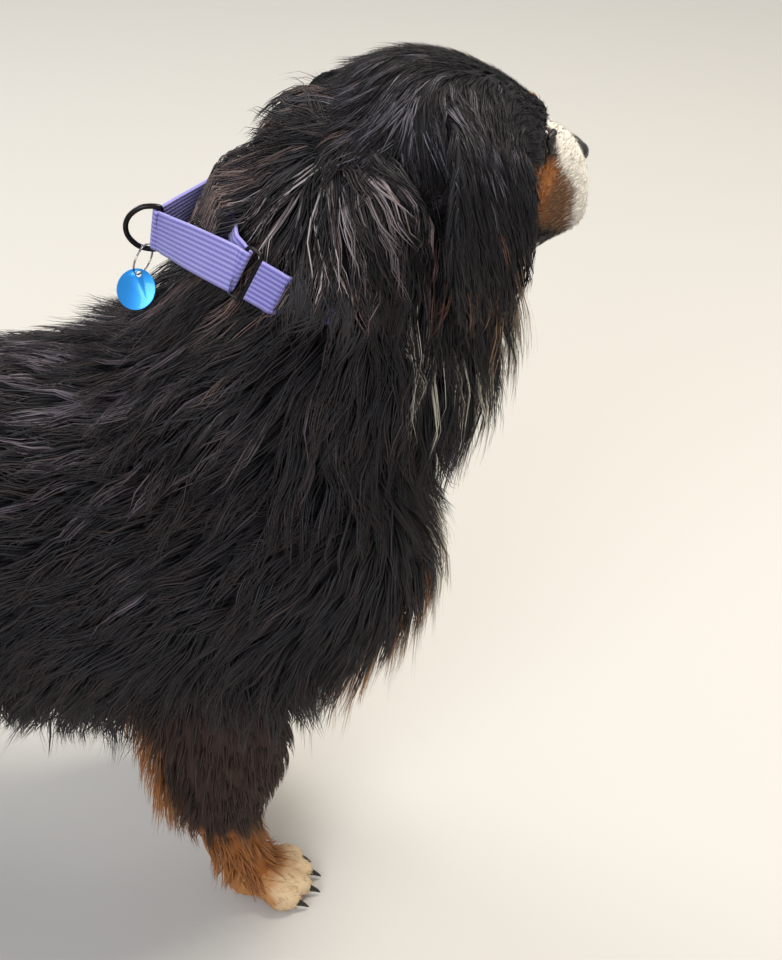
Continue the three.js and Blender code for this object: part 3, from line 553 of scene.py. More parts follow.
def mix_head(out, points, head, ears, jaw, edge, fine):
    """The markings of the face laid over the colours so far."""
    hx, hy, hz = to_head(points).T
    side = np.abs(hy)
    face = head & ~ears
    # Rust cheeks behind and below the eye, running down to the corner of the mouth
    cheek = smoothstep(16, 34, hx + edge * 0.4) * smoothstep(8, -4, hz + edge * 0.3)
    cheek *= smoothstep(24, 36, side) * smoothstep(108, 88, hx + edge * 0.4)
    out = mix(out, RUST, face * cheek)
    brow = np.exp(-(((hx - 53) / 10) ** 2 + ((side - 27) / 9) ** 2 + ((hz - 46) / 11) ** 2))
    out = mix(out, RUST, face * smoothstep(0.48, 0.72, brow + fine * 0.08) * 0.9)
    # White blaze, widening from the forehead over the whole front of the muzzle
    blaze_half = 5 + 26 * smoothstep(72, 112, hx) + 4 * smoothstep(20, 60, hx)
    blaze = smoothstep(blaze_half + 5, blaze_half - 3, side + fine * 2)
    blaze *= smoothstep(2, 22, hx) * smoothstep(-30, -10, hz)
    out = mix(out, WHITE, face * blaze)
    border = np.interp(hz, [-62, -42, -18, 4, 26], [140, 136, 122, 96, 84])
    front = smoothstep(-7, 7, hx - border + edge * 0.5)
    flew = smoothstep(84, 104, hx + edge * 0.4) * smoothstep(14, -8, hz + edge * 0.4)
    flew *= smoothstep(14, 26, side)
    out = mix(out, FLEW, face * flew * 0.9)
    out = mix(out, WHITE, face * front)
    lip = smoothstep(72, 88, hx) * smoothstep(-46, -60, hz + edge * 0.3) * smoothstep(16, 28, side)
    out = mix(out, LIP, face * lip * smoothstep(152, 136, hx))
    out = mix(out, WHITE, jaw * smoothstep(70, 96, hx + edge))
    return out


# Paler locks in the coat, most of them painted sheen: their roots' place, reach, colour and the share of
# locks that take it
# The grey-lilac ones on the whorl's locks, the ruff, the crown and the back are painted highlights; the
# auburn ones by the ear and at its tip and the cream ones below it are the hair's own colour
LOCK_SHEEN_AND_PALE_HAIR = [
    ((60, -44, 792), 12, "#a1989a", 0.95), ((77, -47, 794), 12, "#a89fa0", 0.95),
    ((97, -49, 793), 12, "#988d90", 0.95), ((112, -52, 794), 13, "#7f7478", 0.5),
    ((136, -60, 782), 18, "#7c6a68", 0.5), ((36, -8, 776), 62, "#6f5b55", 0.5),
    ((56, -30, 802), 26, "#7b6b68", 0.45), ((163, -58, 776), 20, "#7a5344", 0.45),
    ((153, -28, 853), 34, "#77757f", 0.5), ((120, -20, 840), 40, "#67636d", 0.4),
    ((222, -54, 705), 26, "#8d6c54", 0.35), ((190, -40, 815), 34, "#63606a", 0.4),
    ((-164, 10, 590), 95, "#6d646d", 0.42), ((-110, -80, 565), 70, "#625a62", 0.4),
    ((20, -60, 600), 70, "#4f474b", 0.35), ((-40, -30, 610), 60, "#5d545c", 0.35),
    ((126, -66, 694), 18, "#c8c1b2", 0.45), ((160, -58, 668), 20, "#bdb6a4", 0.36),
    ((196, -34, 640), 22, "#c4bda9", 0.4),
]


def paint_sheen_and_pale_locks(points, base, members):
    """The tufts' colours, with painted sheen on some black locks and others paler in their own colour."""
    out = base.copy()
    draw = np.repeat(rng.random(len(points) // members), members)
    for at, reach, code, share in LOCK_SHEEN_AND_PALE_HAIR:
        weight = np.exp(-((points - np.array(at)) ** 2).sum(1) / reach**2)
        chosen = (draw < weight * share) & (rng.random(len(points)) < 0.8)
        out[chosen] = colour(code) * rng.uniform(0.75, 1.1, (chosen.sum(), 1))
        draw = np.where(chosen, 2.0, draw)
    return out


# The lie, length and depth of the hair on each part. It grows out from a whorl behind the skull.

WHORL = np.array([80.0, -38.0, 812.0])
# Plain parts: length, depth and freedom to hang, and what their feathering adds to each
PLAIN_HAIR = {
    "tail": ((84, 27, 0.5), (0, 0, 0)),
    "foreleg": ((26, 9, 0.1), (52, 15, 0.75)),
    "thigh": ((56, 16, 0.15), (34, 13, 0.5)),
    "hock": ((18, 7, 0.1), (26, 8, 0.5)),
    "foot": ((9, 2.2, 0.1), (0, 0, 0)),
    "ear": ((40, 7, 0.12), (26, 5, 0.6)),
}


def hair_rules(name, points, along, t, angle):
    """For one part's known points: the way the hair lies, its length, depth and freedom to hang."""
    n = len(points)
    up = np.sin(angle)
    down = np.maximum(0, -up)
    top = np.maximum(0, up)
    lie = np.zeros((n, 3))
    length = np.full(n, 20.0)
    depth = np.full(n, 8.0)
    free = np.full(n, 0.1)
    plain = next((key for key in PLAIN_HAIR if name.startswith(key)), None)
    if name == "trunk":
        lie[:] = [-1, 0, -0.45]
        lie[:, 2] -= down * 1.7
        lie[:, 2] += top * 0.4
        front = smoothstep(0.78, 0.95, t)
        lie = lie * (1 - front[:, None]) + np.array([-0.12, 0, -1]) * front[:, None]
        length[:] = 70 - 12 * top + 52 * down
        depth[:] = 26 - 11 * top**2 + 16 * down**2
        free[:] = 0.1 + 0.9 * down
    elif name == "neck":
        lie[:] = [-0.75, 0, -0.6]
        lie[:, 0] += 0.8 * down + 0.1 * (1 - top)
        lie[:, 2] -= 0.5 * down
        throat = down * smoothstep(0.3, 0.5, t)
        length[:] = 84 + 14 * down - 14 * smoothstep(0.8, 0.95, t) + 14 * throat
        depth[:] = 30 - 5 * smoothstep(0.8, 1.0, t) - 7 * down + 19 * throat
        free[:] = 0.2 + 0.3 * throat
        away = points - WHORL
        near = (np.exp(-(away**2).sum(1) / 85**2) * smoothstep(22, -14, away[:, 2]))[:, None]
        below = smoothstep(0, -26, away[:, 2])[:, None]
        lie = unit(lie) * (1 - near) + 1.6 * unit(away) * near
        lie += (np.array([0, 0, -0.3]) + np.array([0.5, 0, -0.5]) * below) * near
        crest = smoothstep(-20, 30, away[:, 2])
        depth[:] *= 1 - 0.45 * crest
        length[:] *= 1 - 0.2 * crest
    elif plain:
        feather = np.zeros(n)
        lie = along.copy()
        if plain == "tail":
            lie += np.array([-0.1, 0, -0.35])
        elif plain == "foreleg":
            lie += np.array([-0.45, 0, 0]) * down[:, None]
            feather = down**1.5 * smoothstep(0.9, 0.55, t)
        elif plain == "thigh":
            lie[:] = [-0.5, 0, -0.9]
            feather = down
        elif plain == "hock":
            lie += np.array([-0.2, 0, -0.2])
            feather = down**1.5 * smoothstep(0.7, 0.3, t)
        elif plain == "ear":
            lie += np.array([0.1, 0, -0.5])
            feather = smoothstep(0.45, 0.95, t)
        length, depth, free = [base + more * feather for base, more in zip(*PLAIN_HAIR[plain])]
    else:
        head = to_head(points)
        hx, hy, hz = head.T
        side = np.sign(hy)
        local = np.stack([np.full(n, -1.0), side * 0.12, np.full(n, -0.12)], 1)
        muzzle = smoothstep(60, 95, hx)
        cheek = smoothstep(-10, -45, hz) * (1 - muzzle)
        local += cheek[:, None] * np.array([0.3, 0, -0.9])
        local += muzzle[:, None] * np.stack([np.zeros(n), side * 0.35, np.full(n, -0.3)], 1)
        lie = local @ HEAD_TURN.T
        behind = smoothstep(34, -60, hx)
        drape = smoothstep(18, 46, np.abs(hy)) * smoothstep(30, -30, hx) * smoothstep(-40, 0, hz)
        sideways = np.stack([np.full(n, -0.2), side * 0.7, np.full(n, -0.7)], 1) @ HEAD_TURN.T
        lie = unit(lie) * (1 - drape[:, None]) + sideways * drape[:, None]
        length[:] = 17 + 30 * behind + 20 * cheek * smoothstep(40, -10, hx) - 4 * muzzle
        depth[:] = 3.2 + 7 * behind + 4 * cheek - 0.9 * muzzle
        free[:] = 0.04 + 0.1 * cheek
        if name == "jaw":
            length[:] = 15
            depth[:] = 3
    return unit(lie), length, depth, free


def hair_fields(labels):
    """The rules of hair at every label point: the lie, and length, depth and freedom."""
    lie = np.zeros_like(labels.points)
    fields = np.zeros((len(labels.points), 3))
    for i, name in enumerate(labels.names):
        mine = labels.part == i
        way, length, depth, free = hair_rules(
            name, labels.points[mine], labels.along[mine], labels.t[mine], labels.angle[mine]
        )
        lie[mine] = way
        fields[mine] = np.stack([length, depth, free], 1)
    return lie, fields


# Tufts: each is a thin closed three-sided blade along its own path


def skin_corners(skin):
    """The three corners of every triangle of the skin, in metres."""
    mesh = skin.data
    mesh.calc_loop_triangles()
    triangles = np.empty(len(mesh.loop_triangles) * 3, np.int32)
    mesh.loop_triangles.foreach_get("vertices", triangles)
    return vertex_places(mesh)[triangles.reshape(-1, 3)]


# Many random roots are drawn for each cell, and the first in it stays. The key numbers the cells.
ROOTS_DRAWN = 5
CELL_GROWTH = 1.1
CELL_KEY = (4000003, 2003, 1)


def sample_skin(corners, spacing):
    """Evenly spread roots: one in each cell of a grid of the given spacing, in metres."""
    areas = np.linalg.norm(np.cross(corners[:, 1] - corners[:, 0], corners[:, 2] - corners[:, 0]), axis=1) / 2
    count = int(areas.sum() / spacing**2 * ROOTS_DRAWN)
    pick = rng.choice(len(corners), count, p=areas / areas.sum())
    u, v = rng.random(count), rng.random(count)
    flip = u + v > 1
    u[flip], v[flip] = 1 - u[flip], 1 - v[flip]
    chosen = corners[pick]
    first_side, second_side = chosen[:, 1] - chosen[:, 0], chosen[:, 2] - chosen[:, 0]
    points = chosen[:, 0] + first_side * u[:, None] + second_side * v[:, None]
    normals = unit(np.cross(first_side, second_side))
    cells = np.floor(points / (spacing * CELL_GROWTH)).astype(np.int64)
    _, first = np.unique(cells @ np.array(CELL_KEY), return_index=True)
    return points[first], normals[first]


ROOT_SINK = 0.0015


def march(tree, roots, normals, lies, length, depth, free, steps):
    """Guide paths over the skin, in metres: each rises to the coat's depth and follows the body."""
    paths = np.zeros((len(roots), steps + 1, 3))
    ups = np.zeros((len(roots), steps + 1, 3))
    down = Vector((0, 0, -1))
    for i in range(len(roots)):
        at = Vector(roots[i])
        normal = Vector(normals[i])
        way = Vector(lies[i])
        step = length[i] / steps
        paths[i, 0] = at - normal * ROOT_SINK
        ups[i, 0] = normal
        loose = free[i]
        for k in range(1, steps + 1):
            share = k / steps
            flat = way - normal * way.dot(normal)
            if flat.length < 1e-4:
                flat = normal.orthogonal()
            flat.normalize()
            hang = (way * 0.45 + down * 0.55).normalized()
            heading = flat.lerp(hang, min(1.0, loose * share * 1.5))
            at = at + heading * step
            spot, face_normal, _, _ = tree.find_nearest(at)
            want = depth[i] * (1 - (1 - share) ** 1.7)
            height = (at - spot).dot(face_normal)
            if height < want:
                at = at + face_normal * (want - height)
            elif height > want:
                at = at - face_normal * (height - want) * (1 - loose)
            normal = face_normal
            paths[i, k] = at
            ups[i, k] = normal
    return paths, ups


# A blade's height over its width, and the side of its own small square on the unwrap
BLADE_HEIGHT = 0.55
BLADE_SQUARE = 0.003


def tuft_mesh(name, paths, ups, width, colours, atlas):
    """All tufts of one piece as one mesh. paths is (tufts, rings + tip, 3)."""
    count, rings = paths.shape[0], paths.shape[1] - 1
    along = np.gradient(paths, axis=1)
    across = unit(np.cross(along, ups))
    up = unit(np.cross(across, along))
    share = np.linspace(0, 1, rings + 1)
    taper = np.array([(1 - s) ** 0.55 * (0.72 + 0.28 * math.sin(math.pi * min(1, s * 1.6))) for s in share])
    half = width[:, None] * 0.5 * taper[None, :]
    verts = np.zeros((count, rings * 3 + 1, 3))
    for side, angle in enumerate((math.pi / 2, math.pi * 7 / 6, math.pi * 11 / 6)):
        offset = across * (math.cos(angle) * half)[..., None]
        offset += up * (math.sin(angle) * half * BLADE_HEIGHT)[..., None]
        verts[:, side : rings * 3 : 3] = (paths + offset)[:, :rings]
    verts[:, -1] = paths[:, -1]
    quads, tris = [], [[0, 2, 1]]
    for r in range(rings - 1):
        for s in range(3):
            n = (s + 1) % 3
            quads.append([r * 3 + s, r * 3 + n, r * 3 + 3 + n, r * 3 + 3 + s])
    last = (rings - 1) * 3
    tris += [[last + s, last + (s + 1) % 3, rings * 3] for s in range(3)]
    per = rings * 3 + 1
    base = (np.arange(count) * per)[:, None, None]
    all_quads = (np.array(quads)[None] + base).reshape(-1)
    all_tris = (np.array(tris)[None] + base).reshape(-1)
    loops = np.concatenate([all_quads, all_tris]).astype(np.int32)
    quad_count, tri_count = len(all_quads) // 4, len(all_tris) // 3
    starts = np.concatenate([np.arange(quad_count) * 4, quad_count * 4 + np.arange(tri_count) * 3])
    starts = starts.astype(np.int32)
    mesh = bpy.data.meshes.new(name)
    mesh.vertices.add(count * per)
    mesh.vertices.foreach_set("co", verts.ravel())
    mesh.loops.add(len(loops))
    mesh.loops.foreach_set("vertex_index", loops)
    mesh.polygons.add(quad_count + tri_count)
    mesh.polygons.foreach_set("loop_start", starts)
    mesh.update(calc_edges=True)
    mesh.shade_smooth()
    ring_of = np.append(np.repeat(np.arange(rings), 3), rings) / rings
    root, tip = colours
    blend = (ring_of**1.3)[None, :, None]
    shade = root[:, None, :] * (1 - blend) + tip[:, None, :] * blend
    paint(mesh, "coat_colour", shade.reshape(-1, 3))
    side_of = np.append(np.tile([0.5, 0.0, 1.0], rings), 0.5)
    patch = np.stack([side_of - 0.5, ring_of - 0.5], 1) * BLADE_SQUARE
    uv_verts = atlas[:, None, :] + patch[None]
    layer = mesh.uv_layers.new(name="OFBake")
    layer.data.foreach_set("uv", uv_verts.reshape(-1, 2)[loops].astype(np.float32).ravel())
    obj = bpy.data.objects.new(name, mesh)
    bpy.context.scene.collection.objects.link(obj)
    return obj


# The strap's middle line round the neck: its middle, its way to the nape and up, and its half sizes
COLLAR_AT = np.array([66.0, 0, 701])
COLLAR_BACK = np.array([-0.894, 0, 0.447])
COLLAR_UP = np.array([0.447, 0, 0.894])
COLLAR_FORE, COLLAR_SIDE = 98.0, 103.0
STRAP_WIDE, STRAP_THICK = 38.0, 2.6
# The stretch at each side where the strap lies on top of the coat, in degrees from the nape
STRAP_SHOWS = (36, 72)
# How far out hair lies over and under the strap, as a share of the strap's own reach
OVER_STRAP, OVER_AT_MOST = 1.055, 1.06
UNDER_STRAP = 0.95
# Degrees from the nape where the nape's hair, the side's and the throat's end or begin
NAPE_ENDS, SIDE_ENDS, THROAT_BEGINS = 60, 80, 100


def clear_of_collar(tufts):
    """Long hair lies over the strap round the nape and throat, and under it where the strap shows."""
    p = tufts * 1000 - MIDDLE - COLLAR_AT
    # Each point's height over the strap, its reach as a share of the strap's, and its angle from the nape
    height = p @ COLLAR_UP
    back = p @ COLLAR_BACK / COLLAR_FORE
    side = p[..., 1] / COLLAR_SIDE
    rel = np.sqrt(back**2 + side**2)
    theta = np.degrees(np.abs(np.arctan2(side, back)))
    low, high = STRAP_SHOWS
    shows = smoothstep(low - 6, low, theta) * smoothstep(high + 6, high, theta)
    root_above = (height[:, :1] > 6) & (np.arange(tufts.shape[1]) > 0)
    close = smoothstep(44, 24, np.abs(height))
    over = np.where(root_above & (rel > 0.72), np.maximum(rel, OVER_STRAP), rel)
    over = np.where(theta < NAPE_ENDS, np.minimum(over, OVER_AT_MOST), over)
    under = np.minimum(rel, UNDER_STRAP)
    in_reach = (rel > 0.6) & (rel < np.where(theta < SIDE_ENDS, 1.6, 1.25))
    from_below = np.where(theta < THROAT_BEGINS, under, rel)
    wanted = np.where(shows > 0.5, under, np.where(root_above, over, from_below))
    new = rel + (wanted - rel) * close * in_reach
    scale = (new / np.maximum(rel, 0.05))[..., None]
    level = height[..., None] * COLLAR_UP
    moved = level + (p - level) * scale
    return (moved + COLLAR_AT + MIDDLE) / 1000


# The coat's unwrap: how many tiles lie side by side, and the margin and side of each
TILES_ACROSS = 5
TILE_MARGIN, TILE_SIDE = 0.01, 0.18


def atlas_place(labels, index):
    """Where a label lies on an unwrap of the skin: one tile for each part, round it and along it."""
    tile = labels.part[index]
    u = (labels.angle[index] / (2 * math.pi)) % 1.0
    v = np.clip(labels.t[index], 0, 1)
    column, row = (tile % TILES_ACROSS) / TILES_ACROSS, (tile // TILES_ACROSS) / TILES_ACROSS
    return np.stack([column + TILE_MARGIN + u * TILE_SIDE, row + TILE_MARGIN + v * TILE_SIDE], 1)


# Each patch of coat: its parts, the space between locks, the tufts in a lock, their rings and width,
# how far the tufts of a lock lie apart at the root and how closely they join at the tip
COATS = [
    ("coat_back", ("trunk",), 14.5, 9, 4, 2.4, 9.0, 0.55),
    ("coat_neck", ("neck",), 12.5, 9, 5, 2.2, 7.5, 0.6),
    ("coat_whorl", ("neck", "head"), 7.0, 5, 5, 2.0, 4.5, 0.6),
    ("coat_tail", ("tail",), 14.0, 9, 4, 2.4, 7.5, 0.6),
    ("coat_forelegs", ("foreleg",), 11.5, 6, 4, 2.1, 6.0, 0.5),
    ("coat_thighs", ("thigh",), 14.0, 9, 4, 2.4, 7.5, 0.6),
    ("coat_hocks", ("hock", "foot"), 6.4, 2, 3, 1.9, 3.2, 0.3),
    ("coat_ears", ("ear",), 7.6, 6, 4, 1.8, 4.6, 0.5),
    ("coat_face", ("head", "jaw"), 4.5, 4, 3, 1.2, 2.6, 0.3),
]
# In each lock the first few strands are broad and lie below, the others are fine
BROAD_STRANDS = 0.25
BROAD_WIDTH, FINE_WIDTH = 1.65, 0.72
PIECE_TRIANGLES = 190000
# The whorl's own patch, and the bare places round the nose and the eyes
WHORL_PATCH_AT = WHORL + [2, -10, -18]
WHORL_REACH = 58.0
NOSE_CLEAR = 20.0
EYE_CLEAR = 14.5


def lock_paths(tree, roots, normals, lie, fields, rings):
    """The middle line of every lock: its way, its path over the body and its waves."""
    dog = roots * 1000 - MIDDLE
    way = unit(lie + 0.08 * rng.normal(size=(len(dog), 3)))
    sway = ripple(dog, 120, 5) * 0.35 + ripple(dog, 48, 6) * 0.3
    length, depth, free = fields.T
    long_share = smoothstep(20, 70, length)
    side = unit(np.cross(normals, way))
    way = unit(way + side * (sway * (0.25 + 0.75 * long_share))[:, None])
    length = length * rng.uniform(0.82, 1.16, len(dog)) / 1000
    tuft_height = 1 + 0.22 * ripple(dog, 70, 12) * long_share
    depth = depth * tuft_height * rng.uniform(0.78, 1.08, len(dog)) / 1000
    paths, ups = march(tree, roots, normals, way, length, depth, free, rings)
    for _ in range(2):
        paths[:, 1:-1] = paths[:, 1:-1] * 0.5 + (paths[:, :-2] + paths[:, 2:]) * 0.25
    share = np.linspace(0, 1, rings + 1)
    phase = rng.uniform(0, 6.28, len(dog))
    turns = rng.uniform(5, 8.5, len(dog))
    across = unit(np.cross(np.gradient(paths, axis=1), ups))
    swing = length * 0.07 * long_share
    wave = np.sin(share[None] * turns[:, None] + phase[:, None]) * share[None] ** 0.8 * swing[:, None]
    return paths + across * wave[..., None], ups, way, long_share


def part_locks(paths, ups, way, normals, long_share, members, spread, join_share):
    """The tufts of each lock. They start apart and join towards its tip, the broad ones lie below."""
    count, rings = len(paths), paths.shape[1] - 1
    share = np.linspace(0, 1, rings + 1)
    rho = np.sqrt(rng.random((count, members))) * spread / 1000
    phi = rng.uniform(0, 6.28, (count, members))
    flat = unit(way - normals * (way * normals).sum(1)[:, None])
    cross = unit(np.cross(normals, flat))
    offset = flat[:, None] * (rho * np.cos(phi))[..., None]
    offset = offset + cross[:, None] * (rho * np.sin(phi))[..., None]
    closing = 1 - join_share * share**1.4
    tufts = paths[:, None] + offset[:, :, None] * closing[None, None, :, None]
    stretch = rng.uniform(0.74, 1.08, (count, members))
    start = tufts[:, :, :1]
    tufts = start + (tufts - start) * stretch[..., None, None]
    broad = np.arange(members) < members * BROAD_STRANDS
    lift = rng.uniform(-0.0022, 0.0020, (count, members)) * (0.25 + long_share)[:, None]
    lift = np.where(broad, -0.001 - np.abs(lift), lift)
    tufts += ups[:, None] * (lift[..., None] * share)[..., None]
    return clear_of_collar(tufts.reshape(count * members, rings + 1, 3)), broad


def tuft_colours(root_dog, part, names, members, long_share):
    """Each tuft's colour at its root and at its tip."""
    total = len(root_dog)
    base = markings(root_dog, part, names)
    pale = smoothstep(0.15, 0.5, base.min(1))
    tone = rng.uniform(0.72, 1.3, total) * (1 + 0.12 * ripple(root_dog, 60, 9))
    tone = (1 + (tone - 1) * (1 - 0.75 * pale))[:, None]
    dark = (base.sum(1) < 0.12)[:, None]
    # Painted sheen and the hair's own pale locks go on black tufts only
    base = np.where(dark, paint_sheen_and_pale_locks(root_dog, base, members), base)
    sunny = (rng.random(total) ** 3)[:, None] * np.repeat(long_share, members)[:, None]
    # Roots are painted darker than tips, by a fifth on dark hair and less on white: painted shade deep in the
    # coat
    root_colour = base * tone * (0.8 + 0.15 * pale[:, None])
    dark_tip = base * tone * (1 - sunny) + BLACK_TIP * sunny
    tip_colour = np.where(dark, dark_tip, base * 0.7 + RUST_PALE * 0.3)
    white = (base.min(1) > 0.3)[:, None]
    return root_colour, np.where(white, base * (0.92 + 0.08 * tone), tip_colour)


def grow_coat(skin, labels):
    """Every patch of coat on the skin, as pieces of tufts."""
    lie, fields = hair_fields(labels)
    tree = BVHTree.FromObject(skin, bpy.context.evaluated_depsgraph_get())
    corners = skin_corners(skin)
    centres = corners.mean(1) * 1000 - MIDDLE
    part_at = labels.part[labels.nearest(centres)]
    head = to_head(centres)
    bare = ((head - NOSE_AT) ** 2).sum(1) < NOSE_CLEAR**2
    for side in (1, -1):
        bare |= ((head - EYES_AT * [1, side, 1]) ** 2).sum(1) < EYE_CLEAR**2
    grows = ~bare & (centres[:, 2] > 3)
    near_whorl = ((centres - WHORL_PATCH_AT) ** 2).sum(1) < WHORL_REACH**2
    pieces = []
    for name, parts, spacing, members, rings, width, spread, join_share in COATS:
        wanted = grows & np.isin(part_at, [i for i, n in enumerate(labels.names) if n.startswith(parts)])
        if name == "coat_whorl":
            wanted &= near_whorl
        roots, normals = sample_skin(corners[wanted], spacing / 1000)
        near = labels.nearest(roots * 1000 - MIDDLE)
        count, total = len(roots), len(roots) * members
        paths, ups, way, long_share = lock_paths(tree, roots, normals, lie[near], fields[near], rings)
        tufts, broad = part_locks(paths, ups, way, normals, long_share, members, spread, join_share)
        root_dog = tufts[:, 0] * 1000 - MIDDLE
        part = np.repeat(labels.part[near], members)
        root_colour, tip_colour = tuft_colours(root_dog, part, labels.names, members, long_share)
        widths = rng.uniform(0.7, 1.2, total) * np.tile(np.where(broad, BROAD_WIDTH, FINE_WIDTH), count)
        widths = widths * width / 1000
        all_ups = np.repeat(ups, members, axis=0)
        atlas = np.repeat(atlas_place(labels, near), members, axis=0)
        each = 6 * (rings - 1) + 4
        parts_needed = max(1, math.ceil(total * each / PIECE_TRIANGLES))
        order = np.argsort(root_dog[:, 0], kind="stable")
        for number, chunk in enumerate(np.array_split(order, parts_needed)):
            label = name if parts_needed == 1 else f"{name}_{number + 1}"
            tints = (root_colour[chunk], tip_colour[chunk])
            pieces.append(
                tuft_mesh(label, tufts[chunk], all_ups[chunk], widths[chunk], tints, atlas[chunk])
            )
    return pieces


def colour_skin(skin, labels):
    """The markings on the skin itself, dark round the eyes and along the lips."""
    dog = vertex_places(skin.data) * 1000 - MIDDLE
    near = labels.nearest(dog)
    shade = markings(dog, labels.part[near], labels.names) * 0.85
    head = to_head(dog)
    rim = np.zeros(len(dog))
    for side in (1, -1):
        away = np.sqrt(((head - EYES_AT * [1, side, 1]) ** 2).sum(1))
        rim = np.maximum(rim, smoothstep(17.5, 15, away))
    side = np.abs(head[:, 1])
    lips = smoothstep(-52, -57, head[:, 2] + 0.06 * (head[:, 0] - 110)) * smoothstep(60, 70, head[:, 0])
    lips *= smoothstep(148, 140, head[:, 0]) * smoothstep(24, 30, side)
    on_face = np.isin(labels.part[near], [labels.names.index("head"), labels.names.index("jaw")])
    dark = np.maximum(rim, lips * 0.9) * on_face
    paint(skin.data, "coat_colour", mix(shade, BLACK, dark))


# Materials


def feed(tree, node, sockets):
    """Gives each socket its value, or links it to the output that feeds it."""
    for key, value in sockets.items():
        if isinstance(value, bpy.types.NodeSocket):
            tree.links.new(value, node.inputs[key])
        else:
            node.inputs[key].default_value = value


def add(tree, kind, sockets=None, **settings):
    """One node with its settings, and with what goes into its sockets."""
    node = tree.nodes.new(kind)
    for key, value in settings.items():
        setattr(node, key, value)
    feed(tree, node, sockets or {})
    return node


def material(name, base=None, **values):
    """A new material, with its node tree and shader for what is added to it."""
    made = bpy.data.materials.new(name)
    made.use_nodes = True
    tree = made.node_tree
    shader = tree.nodes["Principled BSDF"]
    if base is not None:
        shader.inputs["Base Color"].default_value = (*base, 1)
        made.diffuse_color = (*base, 1)
    feed(tree, shader, {key.replace("_", " "): value for key, value in values.items()})
    return made, tree, shader


def plain(name, base, **values):
    """A material of one colour all over."""
    return material(name, base, **values)[0]


def painted(name, attribute, **values):
    """A material whose colours are painted on the mesh."""
    made, tree, shader = material(name, **values)
    tint = add(tree, "ShaderNodeAttribute", attribute_name=attribute)
    feed(tree, shader, {"Base Color": tint.outputs["Color"]})
    return made


# Skin's pores and nose leather's pebbles, in metres. Both are coarser than real ones, to show.
PORE_SPACING = 1 / 900
PEBBLE_SPACING = 1 / 760


def pebbled(name, base, spacing, strength, height, **values):
    """A material with small raised cells, given the space between them and their height."""
    made, tree, shader = material(name, base, **values)
    place = add(tree, "ShaderNodeTexCoord")
    grain = add(tree, "ShaderNodeTexVoronoi", {"Scale": 1 / spacing, "Vector": place.outputs["Object"]})
    raised = {"Strength": strength, "Distance": height, "Height": grain.outputs["Distance"]}
    feed(tree, shader, {"Normal": add(tree, "ShaderNodeBump", raised).outputs["Normal"]})
    return made


# Ribs along the strap and weft across it, in metres. Both are coarser than real yarn, to show.
RIB_SPACING = 0.0042
WEFT_SPACING = 0.0016
WEFT_SHARE = 0.3


def webbing_material():
    """Nylon webbing, woven from matt yarn: ribs that catch a soft light, and hardly any gloss. Its grooves
    are painted darker and its rib tops paler, as painted shade and light.
    """
    made, tree, shader = material(
        "nylon_webbing", colour("#7d78c9"), Roughness=0.62, Specular_IOR_Level=0.35, Sheen_Weight=0.25
    )
    place = add(tree, "ShaderNodeUVMap", uv_map="Strap")
    split = add(tree, "ShaderNodeSeparateXYZ", {"Vector": place.outputs["UV"]})
    waves = []
    for axis, spacing in (("Y", RIB_SPACING), ("X", WEFT_SPACING)):
        turns = {0: split.outputs[axis], 1: 2 * math.pi / spacing}
        phase = add(tree, "ShaderNodeMath", turns, operation="MULTIPLY").outputs[0]
        waves.append(add(tree, "ShaderNodeMath", {0: phase}, operation="SINE").outputs[0])
    ribs, weft = waves
    both = {0: weft, 1: WEFT_SHARE, 2: ribs}
    height = add(tree, "ShaderNodeMath", both, operation="MULTIPLY_ADD").outputs[0]
    limits = {"From Min": -1 - WEFT_SHARE, "From Max": 1 + WEFT_SHARE, "Value": height}
    share = add(tree, "ShaderNodeMapRange", limits).outputs["Result"]
    # Painted shade and light: darker blue in the weave's grooves, paler on its raised ribs
    groove_shade_rib_light = {"Factor": share, "A": (*colour("#5b54a6"), 1), "B": (*colour("#a29fe0"), 1)}
    tint = add(tree, "ShaderNodeMix", groove_shade_rib_light, data_type="RGBA").outputs["Result"]
    bump = add(tree, "ShaderNodeBump", {"Strength": 0.8, "Distance": 0.0006, "Height": height})
    feed(tree, shader, {"Base Color": tint, "Normal": bump.outputs["Normal"]})
    return made


# Eyes, lids, nose and claws


# Degrees from the middle of the gaze over which the eye's colours and its cornea fade, in or out
PUPIL_EDGE = (18, 16)
IRIS_FIBRES = (22, 36)
IRIS_RIM = (37, 44)
WHITE_BEGINS = (50, 62)
CORNEA = (44, 8)


